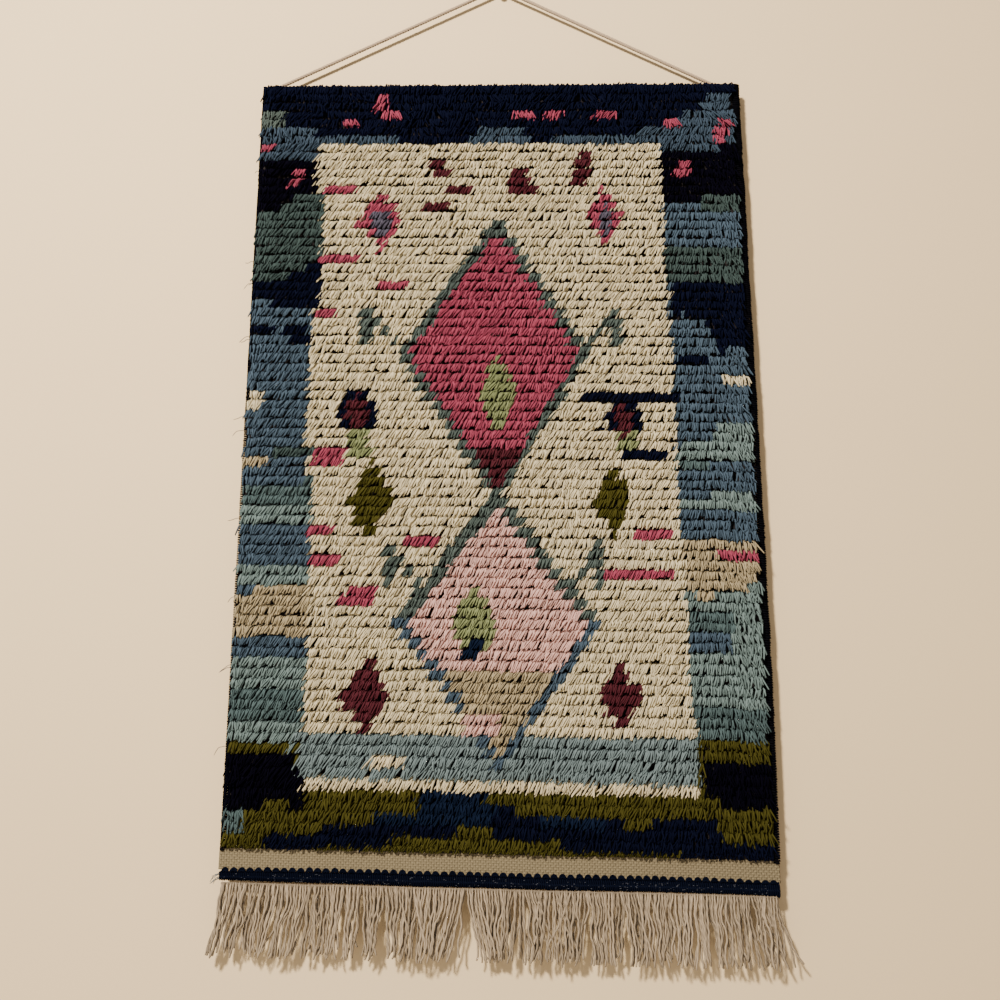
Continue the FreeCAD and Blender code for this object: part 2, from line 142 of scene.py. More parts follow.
# Each entry: the frame's node, the yarn, and an outline in knot columns and rows counted from
# the top left corner. The first outline that holds a knot decides its yarn.
PATTERN = [
    ("red_diamond_leaf_pile", "light_green", [(30.0, 31.0), (31.6, 33.2), (32.3, 34.6), (31.4, 37.0),
                                              (30.6, 39.0), (29.3, 39.0), (28.6, 37.0), (27.5, 35.4),
                                              (28.6, 32.8)]),
    ("red_diamond_tip_pile", "maroon", [(26.9, 41.2), (33.1, 41.2), (30.0, 45.2)]),
    ("red_diamond_pile", "raspberry", [(29.8, 17.4), (39.9, 30.7), (30.0, 45.2), (19.0, 31.0)]),
    ("red_diamond_outline_pile", "slate", [(29.8, 15.6), (41.3, 30.7), (30.0, 46.6), (17.6, 31.0)]),
    ("pink_diamond_leaf_pile", "petrol", [(25.8, 60.7), (28.1, 60.2), (27.6, 62.1), (26.0, 62.0)]),
    ("pink_diamond_leaf_pile", "light_green", [(27.3, 55.0), (28.8, 56.6), (29.9, 58.6), (29.0, 61.0),
                                               (25.6, 60.8), (24.8, 58.4), (25.8, 56.4)]),
    ("pink_diamond_pile", "pale_pink", block(26.2, 30.0, 66.8, 68.7)),
    ("pink_diamond_base_pile", "sand", [(23.3, 62.9), (36.7, 62.9), (30.2, 71.0)]),
    ("pink_diamond_pile", "pale_pink", [(29.9, 47.0), (40.5, 58.6), (36.7, 62.9), (23.3, 62.9),
                                        (19.3, 58.8)]),
    ("pink_diamond_outline_pile", "slate", [(29.9, 45.0), (41.9, 58.4), (17.7, 58.4)]),
    ("pink_diamond_outline_pile", "blue", [(17.7, 58.4), (41.9, 58.4), (30.3, 72.2)]),
    ("hook_pile", "slate", block(13.2, 14.5, 25.9, 29.9)),
    ("hook_pile", "slate", block(14.5, 15.6, 26.9, 28.1)),
    ("hook_pile", "slate", block(15.7, 16.9, 27.9, 29.1)),
    ("hook_pile", "slate", block(16.9, 17.9, 28.9, 30.1)),
    ("hook_pile", "slate", block(43.9, 45.0, 25.9, 30.1)),
    ("hook_pile", "slate", block(42.8, 43.9, 26.9, 28.1)),
    ("hook_pile", "slate", block(41.8, 42.9, 27.9, 29.1)),
    ("hook_pile", "slate", block(40.8, 41.8, 28.9, 30.1)),
    ("hook_pile", "slate", block(16.7, 17.8, 50.9, 55.1)),
    ("hook_pile", "slate", block(17.8, 18.9, 51.9, 53.1)),
    ("hook_pile", "slate", block(18.9, 20.0, 52.9, 54.1)),
    ("hook_pile", "slate", block(20.0, 21.0, 53.9, 55.1)),
    ("hook_pile", "slate", block(41.2, 42.3, 50.4, 55.1)),
    ("hook_pile", "slate", block(40.2, 41.2, 51.4, 53.1)),
    ("hook_pile", "slate", block(39.2, 40.3, 52.9, 54.1)),
    ("hook_pile", "slate", block(38.2, 39.3, 53.9, 55.1)),
    ("lozenge_pile", "mauve", [(15.0, 14.4), (16.9, 16.0), (15.6, 18.7), (14.0, 17.2), (13.9, 15.4)]),
    ("lozenge_pile", "mauve", [(43.4, 14.2), (44.4, 15.8), (43.6, 17.7), (42.4, 16.0)]),
    ("lozenge_pile", "raspberry", [(15.3, 12.4), (16.8, 14.4), (18.2, 16.0), (16.6, 17.8), (15.3, 20.3),
                                   (14.0, 17.8), (12.0, 16.4), (13.6, 14.6)]),
    ("lozenge_pile", "raspberry", [(43.3, 12.2), (44.6, 14.0), (45.8, 15.6), (44.6, 17.2), (43.3, 19.5),
                                   (42.3, 17.0), (41.0, 15.6), (42.3, 14.2)]),
    ("maroon_fleck_pile", "maroon", [(21.0, 9.4), (23.2, 9.4), (24.2, 10.8), (21.4, 10.8)]),
    ("maroon_fleck_pile", "maroon", block(24.0, 26.8, 11.8, 13.0)),
    ("maroon_fleck_pile", "maroon", block(20.7, 23.9, 13.6, 14.8)),
    ("maroon_fleck_pile", "maroon", [(32.0, 9.6), (33.3, 9.6), (34.0, 11.4), (35.4, 12.0), (35.0, 12.9),
                                     (31.0, 12.9)]),
    ("maroon_fleck_pile", "maroon", [(40.3, 8.2), (42.1, 8.2), (41.5, 10.0), (41.4, 11.6), (39.2, 11.6),
                                     (40.0, 10.0)]),
    ("pink_dash_pile", "raspberry", block(7.7, 12.0, 11.6, 12.8)),
    ("pink_dash_pile", "raspberry", block(7.6, 12.6, 19.8, 21.0)),
    ("pink_dash_pile", "raspberry", block(15.0, 18.8, 23.0, 24.2)),
    ("pink_dash_pile", "raspberry", block(7.4, 10.1, 25.6, 26.8)),
    ("pink_dash_pile", "raspberry", block(7.8, 11.5, 41.4, 42.7)),
    ("pink_dash_pile", "raspberry", block(7.5, 10.6, 48.8, 50.1)),
    ("pink_dash_pile", "raspberry", block(7.9, 11.8, 51.6, 52.8)),
    ("pink_dash_pile", "raspberry", block(18.9, 23.0, 49.8, 51.0)),
    ("pink_dash_pile", "raspberry", [(12.6, 55.2), (15.9, 55.2), (15.4, 56.7), (11.5, 56.7)]),
    ("pink_dash_pile", "raspberry", block(45.6, 50.2, 49.2, 50.5)),
    ("pink_dash_pile", "raspberry", block(42.3, 50.4, 52.8, 54.1)),
    ("navy_dash_pile", "navy", block(40.0, 51.7, 35.1, 36.3)),
    ("navy_dash_pile", "navy", block(44.6, 50.4, 41.2, 42.5)),
    ("flower_pile", "maroon", [(12.6, 35.0), (14.6, 37.0), (14.2, 39.2), (12.4, 39.2), (11.4, 37.0)]),
    ("flower_pile", "navy", [(13.0, 34.4), (14.6, 36.0), (15.9, 37.6), (15.0, 38.8), (10.9, 38.8),
                             (10.4, 37.4), (11.6, 35.6)]),
    ("flower_pile", "light_green", block(11.9, 14.8, 39.0, 41.6)),
    ("flower_pile", "maroon", [(44.4, 36.0), (46.0, 37.0), (45.9, 39.4), (44.6, 39.6), (43.8, 38.0)]),
    ("flower_pile", "navy", [(44.4, 36.0), (46.4, 36.0), (47.7, 37.8), (46.8, 39.0), (43.2, 39.0),
                             (42.7, 37.8)]),
    ("flower_pile", "light_green", block(44.3, 46.8, 39.2, 41.2)),
    ("olive_leaf_pile", "olive", [(14.6, 42.3), (16.2, 43.8), (17.9, 46.2), (16.4, 48.0), (15.4, 50.0),
                                  (13.6, 49.4), (12.3, 46.4), (13.6, 44.4)]),
    ("olive_leaf_pile", "olive", [(43.8, 42.4), (45.0, 44.4), (45.8, 46.0), (44.6, 48.0), (43.4, 49.7),
                                  (42.2, 48.0), (41.2, 46.0), (42.6, 44.0)]),
    ("maroon_leaf_pile", "maroon", [(15.3, 61.7), (16.6, 63.6), (17.8, 65.2), (16.4, 67.0), (15.2, 69.0),
                                    (13.6, 67.6), (12.1, 65.4), (13.6, 63.4)]),
    ("maroon_leaf_pile", "maroon", [(43.9, 61.4), (45.0, 63.4), (46.4, 65.0), (45.2, 67.0), (43.9, 68.6),
                                    (42.6, 67.0), (41.4, 65.2), (42.8, 63.4)]),
    # Corner blocks
    ("corner_block_pile", "raspberry", [(4.2, 9.8), (5.4, 10.4), (4.6, 12.1), (3.0, 12.2), (3.6, 10.6)]),
    ("corner_block_pile", "black", [(0, 8.8), (6.9, 8.8), (6.9, 12.8), (4.4, 13.2), (2.0, 14.8),
                                    (0, 15.0)]),
    ("corner_block_pile", "raspberry", [(53.2, 9.0), (55.0, 8.7), (54.6, 10.2), (53.6, 11.3),
                                        (52.2, 11.3)]),
    ("corner_block_pile", "black", [(50.9, 8.0), (60, 7.4), (60, 12.6), (56.2, 12.8), (54.6, 14.4),
                                    (50.9, 14.4)]),
    ("corner_block_pile", "black", [(0, 71.4), (2.4, 71.4), (6.0, 71.0), (7.4, 71.8), (8.6, 73.2),
                                    (8.2, 75.8), (5.0, 75.2), (2.0, 76.0), (0, 75.8)]),
    ("corner_block_pile", "black", [(52.9, 71.2), (60, 71.0), (60, 75.2), (56.0, 74.8), (53.0, 74.2)]),
    # Bottom band and border
    ("bottom_band_pile", "cream", [(15.0, 71.6), (17.0, 71.1), (19.6, 71.2), (19.0, 72.3), (15.0, 72.3)]),
    ("bottom_band_pile", "mist", [(7.0, 69.5), (52.7, 69.5), (52.8, 72.6), (8.0, 72.6)]),
    ("bottom_band_pile", "cream", block(8.4, 52.7, 72.6, 74.0)),
    ("bottom_border_pile", "pine", block(0, 1.4, 76.4, 78.2)),
    ("bottom_border_pile", "petrol", [(21.0, 74.4), (24.0, 73.8), (29.0, 73.6), (28.0, 75.3),
                                      (22.0, 75.4)]),
    ("bottom_border_pile", "petrol", [(15.8, 76.2), (22.0, 75.4), (30.0, 75.4), (29.0, 76.6),
                                      (16.0, 77.2)]),
    ("bottom_border_pile", "petrol", [(33.0, 75.8), (41.0, 76.0), (43.0, 77.2), (35.0, 77.2)]),
    ("bottom_border_pile", "navy", block(3.8, 9.4, 78.4, 79.6)),
    ("bottom_border_pile", "navy", [(9.0, 78.0), (12.0, 77.0), (18.0, 77.0), (18.0, 79.0), (9.0, 79.5)]),
    ("bottom_border_pile", "navy", [(15.0, 77.0), (24.0, 75.5), (25.0, 77.6), (18.0, 78.2)]),
    ("bottom_border_pile", "navy", [(24.0, 75.2), (44.0, 76.0), (44.0, 78.2), (34.0, 77.8),
                                    (24.0, 77.2)]),
    ("bottom_border_pile", "navy", [(35.0, 77.0), (54.0, 76.2), (54.0, 79.2), (44.0, 79.2),
                                    (36.0, 78.4)]),
    ("bottom_border_pile", "navy", [(49.0, 78.6), (54.0, 77.4), (60, 78.4), (60, 80), (50.0, 80)]),
    ("bottom_border_pile", "olive", [(0, 75.0), (9.0, 75.0), (8.4, 74.0), (52.8, 74.0), (60, 75.0),
                                     (60, 80), (0, 80)]),
    # Top border
    ("top_border_pile", "raspberry", [(14.2, 1.2), (15.4, 1.2), (15.8, 2.4), (16.8, 3.4), (16.8, 4.4),
                                      (14.8, 4.4), (14.2, 3.2)]),
    ("top_border_pile", "raspberry", block(9.5, 11.6, 4.2, 5.0)),
    ("top_border_pile", "raspberry", block(31.7, 34.0, 3.1, 4.3)),
    ("top_border_pile", "raspberry", block(35.8, 38.0, 2.8, 4.2)),
    ("top_border_pile", "raspberry", block(43.0, 45.5, 2.8, 4.3)),
    ("top_border_pile", "raspberry", block(51.0, 53.0, 3.6, 4.6)),
    ("top_border_pile", "raspberry", [(58.2, 4.5), (59.8, 4.2), (59.2, 6.6), (57.4, 6.9)]),
    ("top_border_pile", "raspberry", block(0, 1.5, 6.8, 8.3)),
    ("top_border_pile", "slate", block(0, 2.4, 3.0, 5.0)),
    ("top_border_pile", "teal", [(0, 5.0), (5.6, 5.0), (8.0, 6.2), (8.0, 7.4), (6.9, 7.4), (6.9, 8.8),
                                 (0, 8.8)]),
    ("top_border_pile", "teal", [(8.0, 6.4), (26.0, 6.6), (27.6, 5.0), (33.0, 5.0), (34.4, 6.6),
                                 (44.0, 6.2), (50.0, 5.2), (53.0, 4.2), (56.0, 2.4), (57.6, 1.4),
                                 (60, 1.2), (60, 7.6), (51.0, 8.2), (51.0, 7.4), (8.0, 7.4)]),
    ("top_border_pile", "navy", block(0, 60, 0, 7.4)),
    # Left border, from the top
    ("left_border_pile", "navy", [(8.0, 20.4), (8.0, 26.0), (4.0, 26.2), (0, 24.8), (0, 23.2),
                                  (4.0, 22.6)]),
    ("left_border_pile", "sage", [(0, 14.6), (3.0, 13.0), (8.0, 12.6), (8.0, 20.4), (4.0, 22.6),
                                  (0, 23.4)]),
    ("left_border_pile", "navy", block(0, 2.6, 28.0, 29.4)),
    ("left_border_pile", "navy", [(3.6, 28.4), (6.8, 28.4), (6.8, 30.0), (4.6, 29.7)]),
    ("left_border_pile", "cream", block(0, 1.3, 34.6, 36.7)),
    ("left_border_pile", "sage", block(2.8, 8.0, 40.8, 42.0)),
    ("left_border_pile", "sand", block(0, 2.8, 42.0, 42.9)),
    ("left_border_pile", "pine", [(0, 45.4), (8.0, 44.4), (8.0, 47.2), (0, 47.0)]),
    ("left_border_pile", "seafoam", block(0, 8.0, 47.0, 49.0)),
    ("left_border_pile", "blue", block(0, 8.0, 49.0, 53.0)),
    ("left_border_pile", "seafoam", block(0, 8.0, 53.0, 55.2)),
    ("left_border_pile", "sand", [(0, 55.6), (8.0, 55.0), (8.0, 59.8), (0, 59.6)]),
    ("left_border_pile", "blue", block(0, 8.0, 59.6, 62.2)),
    ("left_border_pile", "seafoam", block(0, 8.0, 62.2, 65.0)),
    ("left_border_pile", "pine", block(0, 8.0, 65.0, 67.6)),
    ("left_border_pile", "seafoam", [(0, 67.6), (8.0, 67.6), (8.0, 69.7), (6.6, 70.6), (4.0, 69.6),
                                     (0, 70.0)]),
    ("left_border_pile", "olive", block(0, 8.6, 69.6, 75.4)),
    ("left_border_pile", "blue", block(0, 7.05, 23.0, 60.0)),
    # Right border, from the top
    ("right_border_pile", "sage", block(55.6, 60, 12.4, 14.8)),
    ("right_border_pile", "sage", [(51.0, 19.0), (60, 19.4), (60, 23.0), (51.0, 22.8)]),
    ("right_border_pile", "blue", [(52.4, 26.4), (55.6, 26.8), (56.4, 28.6), (55.0, 30.4), (51.6, 29.6)]),
    ("right_border_pile", "navy", [(51.4, 22.8), (60, 23.0), (60, 29.6), (57.0, 30.8), (56.4, 28.6),
                                   (51.6, 27.2)]),
    ("right_border_pile", "navy", block(52.0, 55.5, 30.9, 32.2)),
    ("right_border_pile", "cream", [(58.0, 32.9), (60, 32.9), (60, 34.3), (57.0, 34.3)]),
    ("right_border_pile", "seafoam", [(56.4, 38.0), (60, 37.8), (60, 42.0), (51.5, 42.0), (51.5, 40.6),
                                   (55.4, 40.0)]),
    ("right_border_pile", "pine", block(51.5, 55.2, 42.0, 43.4)),
    ("right_border_pile", "seafoam", [(55.0, 45.0), (60, 45.0), (60, 47.4), (51.5, 47.4), (51.5, 46.4),
                                   (55.0, 46.2)]),
    ("right_border_pile", "raspberry", block(55.6, 60, 50.7, 52.1)),
    ("right_border_pile", "sand", [(51.6, 50.2), (60, 50.0), (60, 54.4), (56.0, 54.8), (54.0, 56.0),
                                   (51.8, 55.0)]),
    ("right_border_pile", "pine", block(52.0, 57.4, 57.3, 58.8)),
    ("right_border_pile", "seafoam", [(51.8, 55.0), (60, 54.4), (60, 57.8), (51.8, 57.4)]),
    ("right_border_pile", "blue", block(51.8, 56.6, 58.8, 60.6)),
    ("right_border_pile", "seafoam", [(57.0, 57.4), (60, 57.4), (60, 66.4), (52.0, 66.0), (52.0, 60.4),
                                      (56.6, 60.4)]),
    ("right_border_pile", "pine", [(52.2, 66.0), (60, 66.4), (60, 69.4), (52.6, 69.4)]),
    ("right_border_pile", "olive", block(52.6, 60, 69.4, 75.4)),
    ("right_border_pile", "blue", [(50.9, 14.2), (60, 14.2), (60, 50.2), (51.6, 50.2)]),
    # The field is whatever is left
    ("field_pile", "cream", block(0, 60, 0, 80)),
]


# ---------------------------------------------------------------- settings

def yarn_colour(name, use, colour):
    """A colour that the user can change."""
    return FloatVectorProperty(name=name, description=use, default=colour, subtype="COLOR", size=3,
                               min=0, max=1)


def length(name, description, millimetres):
    """A length that the user can change, given in millimetres and kept in metres."""
    return FloatProperty(name=name, description=description, default=millimetres * MM, unit="LENGTH",
                         min=0)


class YarnColours(bpy.types.PropertyGroup):
    """Dyed colours of the wool."""

    cream: yarn_colour("Cream", "Field and the strip under it", (0.596, 0.53, 0.356))
    raspberry: yarn_colour("Raspberry", "Upper diamond, lozenges and dashes", (0.2838, 0.0518, 0.0943))
    maroon: yarn_colour("Maroon", "Diamond tip, flecks and lower leaves", (0.072, 0.0167, 0.0248))
    pale_pink: yarn_colour("Pale pink", "Lower diamond", (0.61, 0.382, 0.346))
    sand: yarn_colour("Sand", "Base of the lower diamond and border patches", (0.348, 0.293, 0.186))
    light_green: yarn_colour("Light green", "Small leaves in the diamonds", (0.193, 0.228, 0.109))
    slate: yarn_colour("Slate", "Diamond outlines and hooks", (0.073, 0.099, 0.094))
    sage: yarn_colour("Sage", "Upper border patches", (0.044, 0.0685, 0.0688))
    pine: yarn_colour("Pine", "Dark green border stripes", (0.069, 0.1073, 0.1152))
    blue: yarn_colour("Steel blue", "Side borders", (0.0566, 0.0889, 0.1284))
    teal: yarn_colour("Teal blue", "Band under the top border", (0.04, 0.063, 0.095))
    mist: yarn_colour("Mist", "Band under the field", (0.1425, 0.1946, 0.21))
    mauve: yarn_colour("Mauve", "Centres of the lozenges", (0.08, 0.075, 0.11))
    seafoam: yarn_colour("Seafoam", "Light border stripes", (0.1406, 0.2003, 0.2025))
    petrol: yarn_colour("Petrol", "Streaks of the bottom border", (0.0057, 0.0109, 0.0286))
    navy: yarn_colour("Navy", "Top border and streaks", (0.0036, 0.0049, 0.0158))
    black: yarn_colour("Blue-black", "Corner blocks", (0.0025, 0.0022, 0.006))
    olive: yarn_colour("Olive", "Bottom border and leaves", (0.054, 0.051, 0.0105))


class WovenColours(bpy.types.PropertyGroup):
    """Colours of everything that isn't pile."""

    cord: yarn_colour("Cord", "Hanging cord and its knots", (0.46, 0.36, 0.26))
    wood: yarn_colour("Rod", "Unvarnished dowel", (0.52, 0.32, 0.15))
    webbing: yarn_colour("Webbing", "Rod sleeve", (0.50, 0.42, 0.30))
    thread: yarn_colour("Thread", "Stitches on the sleeve", (0.62, 0.56, 0.45))
    weave: yarn_colour("Ground weave", "Dark cloth that the knots are tied on", (0.020, 0.017, 0.018))
    selvedge: yarn_colour("Selvedge", "Overcast edges", (0.004, 0.004, 0.006))
    band: yarn_colour("End band", "Flat-woven beige band", (0.2, 0.168, 0.106))
    edging: yarn_colour("Edging", "Navy stitched edging", (0.004, 0.006, 0.016))
    fringe: yarn_colour("Fringe", "Twisted warp ends", (0.352, 0.287, 0.206))
    steel: yarn_colour("Steel", "Zinc-plated screw", (0.62, 0.60, 0.56))
    plug: yarn_colour("Plug", "Grey nylon plug", (0.30, 0.31, 0.33))
    wall: yarn_colour("Wall", "Painted wall behind the hanging", (0.79, 0.63, 0.4))
    floor: yarn_colour("Floor", "Pale floor", (0.72, 0.68, 0.62))


class PileSizes(bpy.types.PropertyGroup):
    """How the wool knots are tied and how they hang."""

    yarn_radius: length("Yarn radius", "Radius of one strand of wool", 0.98)
    bundles_per_knot: IntProperty(name="Bundles per knot", default=2, min=1, max=3,
                                  description="Bundles side by side in each knot of the pattern")
    strands: IntProperty(name="Strands", description="Cut ends in each bundle", default=5, min=2, max=8)
    stand_off: length("Stand-off", "How far a hanging strand stands from the weave", 11.0)
    drop: length("Drop", "How far a strand of the field hangs below its knot", 12.8)
    long_drop: length("Long drop", "The same for the lowest rows", 16.5)
    lean: FloatProperty(name="Lean", description="How far strands slant to the left as they hang",
                        default=0.5)
    first_row_drop: length("First row", "First whole row's distance below the top edge", 6.8)
    row_pitch: length("Row pitch", "Distance between rows at the left edge", 11.48)
    right_rise: length("Right rise", "How much higher the first row is at the right edge", 2.6)
    right_stretch: length("Right stretch", "How much wider the rows are apart at the right edge", 0.2)


class RugSizes(bpy.types.PropertyGroup):
    """The cloth, its edges, the rod sleeve and the cord."""

    hang_slant: length("Slant", "How much lower than level the bottom right corner hangs", 7.0)
    ply_pitch: length("Ply pitch", "Length of one twist of the cord", 11.0)
    sleeve_thickness: length("Webbing thickness", "Thickness of the rod sleeve", 1.2)
    overcast_pitch: length("Overcast pitch", "Distance between turns of the selvedge yarn", 2.7)
    overcast_radius: length("Overcast radius", "Radius of the selvedge yarn", 1.3)
    tooth_pitch: length("Tooth pitch", "Distance between the edging's stitch heads", 9.0)
    band_rib: length("Band rib", "Pitch of the end band's weave", 2.6)


class FringeSizes(bpy.types.PropertyGroup):
    """The fringe of warp ends."""

    strands: IntProperty(name="Strands", description="Strands in each of the two layers", default=200,
                         min=10, max=400)
    radius: length("Strand radius", "Radius of a twisted strand", 1.2)
    hang: length("Length", "How far the strands hang below the edging", 74.0)
    spread: length("Spread", "How far the outer strands spread sideways", 15.0)


class StageSizes(bpy.types.PropertyGroup):
    """Camera and light."""

    camera_distance: length("Camera distance", "From the wall's face", 1150)
    camera_drop: length("Camera drop", "Camera's place below the screw", 935)
    camera_pitch: FloatProperty(name="Camera pitch", description="How far the camera looks up",
                                default=math.radians(12.4), unit="ROTATION")
    key_power: FloatProperty(name="Key light", description="Power of the key light", default=154.0,
                             min=0, unit="POWER")
    fill_strength: FloatProperty(name="Fill light", description="Strength of the room's soft light",
                                 default=0.34, min=0)


# ---------------------------------------------------------------- materials

class Value:
    """A number socket. Arithmetic on it adds the Math nodes that the expression needs."""

    def __init__(self, shader, socket):
        self.shader = shader
        self.socket = socket

    def maths(self, operation, *others):
        """Adds a Math node that works on this number and others."""
        inputs = dict(enumerate((self, *others)))
        return self.shader.value("Math", {"operation": operation}, inputs)

    def __add__(self, other):
        return self.maths("ADD", other)

    def __sub__(self, other):
        return self.maths("SUBTRACT", other)

    def __rsub__(self, other):
        return self.maths("MULTIPLY_ADD", -1.0, other)

    def __mul__(self, other):
        return self.maths("MULTIPLY", other)

    __radd__ = __add__
    __rmul__ = __mul__

    def wave(self):
        """The sine of the number."""
        return self.maths("SINE")

    def positive(self):
        """The number without its sign."""
        return self.maths("ABSOLUTE")

    def whole(self):
        """The number rounded down."""
        return self.maths("FLOOR")

    def modulo(self, other):
        """What is left after dividing."""
        return self.maths("MODULO", other)

    def clamped(self):
        """The number held between 0 and 1."""
        return self.maths("MINIMUM", 1.0).maths("MAXIMUM", 0.0)


class Shader:
    """A material's node tree."""

    def __init__(self, name):
        self.material = bpy.data.materials.new(name)
        self.material.use_nodes = True
        self.tree = self.material.node_tree
        self.tree.nodes.clear()

    def node(self, kind, settings=None, inputs=None):
        """Adds a node, sets it up and fills its sockets with values or links."""
        node = self.tree.nodes.new("ShaderNode" + kind)
        for key, setting in (settings or {}).items():
            setattr(node, key, setting)
        for key, given in (inputs or {}).items():
            if isinstance(given, Value):
                given = given.socket
            if isinstance(given, bpy.types.NodeSocket):
                self.tree.links.new(given, node.inputs[key])
            else:
                node.inputs[key].default_value = given
        return node

    def value(self, kind, settings=None, inputs=None, output=0):
        """Adds a node and gives one of its number outputs."""
        return Value(self, self.node(kind, settings, inputs).outputs[output])

    def mix(self, factor, first, second):
        """Mixes two colours."""
        inputs = {0: factor, 6: opaque(first), 7: opaque(second)}
        return self.node("Mix", {"data_type": "RGBA"}, inputs).outputs[2]

    def object_point(self):
        """The place on the piece, in its object's coordinates."""
        return self.node("TexCoord").outputs["Object"]

    def noise(self, scale, detail=2.0, stretch=(1, 1, 1)):
        """Noise on object coordinates, from 0 to 1, with features 1 / scale metres wide."""
        point = self.node("Mapping", None, {"Vector": self.object_point(), "Scale": stretch}).outputs[0]
        inputs = {"Vector": point, "Scale": scale, "Detail": detail, "Roughness": 0.6}
        return self.value("TexNoise", {"noise_dimensions": "3D"}, inputs)

    def surface_place(self):
        """The piece's own UV map: round or across it, and along it."""
        uv = self.node("UVMap", {"uv_map": "yarn"}).outputs[0]
        parts = self.node("SeparateXYZ", None, {0: uv})
        return Value(self, parts.outputs[0]), Value(self, parts.outputs[1])

    def shade(self):
        """Each strand's own lightness, from 0 to 1."""
        return self.value("Attribute", {"attribute_name": "shade"}, None, "Fac")

    def finish(self, colour, height=None, depth=0.0, **sockets):
        """Closes the material with one shader, and a bump of the given height map and depth."""
        inputs = {"Base Color": colour}
        for name, given in sockets.items():
            inputs[name.replace("_", " ").title().replace("Ior", "IOR")] = given
        if height is not None:
            bump = self.node("Bump", None, {"Height": height, "Distance": depth, "Strength": 0.8})
            inputs["Normal"] = bump.outputs[0]
        shader = self.node("BsdfPrincipled", None, inputs)
        self.node("OutputMaterial", None, {"Surface": shader.outputs[0]})
        return self.material


def opaque(colour):
    """A colour as four numbers, or the socket that it already is."""
    if isinstance(colour, (bpy.types.NodeSocket, Value)):
        return colour
    return (*tuple(colour)[:3], 1.0)


def tinted(colour, factor):
    """A colour made lighter or darker."""
    return tuple(min(1.0, part * factor) for part in tuple(colour)[:3])


def wool(name, colour, plies=2, twists=4.0, twist_depth=0.3 * MM):
    """Spun wool: strands of different shades, with twist and loose fibres; painted shade darkens each strand
    at its root and in the grooves of its twist.
    """
    shader = Shader(name)
    around, along = shader.surface_place()
    fibres = shader.noise(1100.0, 4.0)
    clouds = shader.noise(60.0, 2.0)
    twist = ((around * plies + along * twists) * FULL_TURN).wave() * 0.5 + 0.5
    # Painted shade: darker towards the root (along) and between the plies (twist), mixed with the strands'
    # random tone
    lightness = shader.shade() * 0.42 + fibres * 0.55 + clouds * 0.3 + twist * 0.14 + along * 0.2 - 0.36
    mixed = shader.mix(lightness.clamped(), tinted(colour, 0.40), tinted(colour, 1.32))
    lustre = 0.22 * max(colour)
    return shader.finish(mixed, twist * 0.8 + fibres * 0.6, twist_depth, roughness=0.95,
                         specular_ior_level=lustre, sheen_weight=lustre, sheen_roughness=0.6,
                         sheen_tint=opaque(tinted(colour, 1.3)))


def twisted_thread(name, colour, plies, twists, contrast=0.5):
    """Hard-twisted cotton or linen: ply lines along the strand, with painted shade in the dark lines between
    them.
    """
    shader = Shader(name)
    around, along = shader.surface_place()
    fibres = shader.noise(1200.0, 3.0)
    ply = ((around * plies + along * twists) * FULL_TURN).wave() * 0.5 + 0.5
    # Painted shade: the ply pattern darkens the colour in the grooves between the plies
    lightness = shader.shade() * 0.55 + fibres * 0.4 + ply * 0.4 - 0.2
    mixed = shader.mix(lightness.clamped(), tinted(colour, contrast), tinted(colour, 1.25))
    return shader.finish(mixed, ply * 0.8 + fibres * 0.4, 0.2 * MM, roughness=0.9,
                         specular_ior_level=0.12, sheen_weight=0.05)


def woven_cloth(name, colour, across_threads, down_threads, contrast=0.45, depth=0.4 * MM):
    """Plain weave: warp and weft threads pass over each other in turn, with painted shade in the grooves
    between threads.
    """
    shader = Shader(name)
    across, down = shader.surface_place()
    warp_place = across * across_threads
    weft_place = down * down_threads
    warp = (warp_place * math.pi).wave().positive()
    weft = (weft_place * math.pi).wave().positive()
    over = (warp_place.whole() + weft_place.whole()).modulo(2.0)
    height = warp * over + weft * (1 - over)
    slubs = shader.noise(500.0, 3.0)
    specks = shader.noise(1400.0, 1.0)
    # Painted shade: the colour follows the weave's height, darker in the grooves where threads dip
    lightness = height * 0.45 + slubs * 0.5 + specks * 0.45 - 0.2
    mixed = shader.mix(lightness.clamped(), tinted(colour, contrast), tinted(colour, 1.3))
    return shader.finish(mixed, height * 0.8 + slubs * 0.3, depth, roughness=0.9,
                         specular_ior_level=0.1)


def dowel_wood(name, colour):
    """Plain dowel with grain along X."""
    shader = Shader(name)
    grain = shader.noise(420.0, 4.0, (0.05, 1, 1))
    pores = shader.noise(1800.0, 2.0, (0.06, 1, 1))
    lightness = grain * 0.8 + pores * 0.3 - 0.05
    mixed = shader.mix(lightness.clamped(), tinted(colour, 0.55), tinted(colour, 1.25))
    return shader.finish(mixed, grain * 0.6 + pores * 0.4, 0.15 * MM, roughness=0.62,
                         specular_ior_level=0.35)


def plated_steel(name, colour):
    """Zinc plating with fine turning marks and dull spots."""
    shader = Shader(name)
    spots = shader.noise(260.0, 3.0)
    marks = shader.noise(900.0, 2.0, (1, 6, 1))
    mixed = shader.mix(spots, tinted(colour, 0.75), tinted(colour, 1.1))
    return shader.finish(mixed, marks, 0.03 * MM, roughness=spots * 0.3 + 0.22, metallic=1.0)


def moulded_nylon(name, colour):
    """Moulded plug with a faint grain and scuffs."""
    shader = Shader(name)
    grain = shader.noise(1500.0, 2.0)
    scuffs = shader.noise(220.0, 4.0)
    mixed = shader.mix(scuffs, tinted(colour, 0.82), tinted(colour, 1.12))
    return shader.finish(mixed, grain, 0.04 * MM, roughness=scuffs * 0.25 + 0.4)


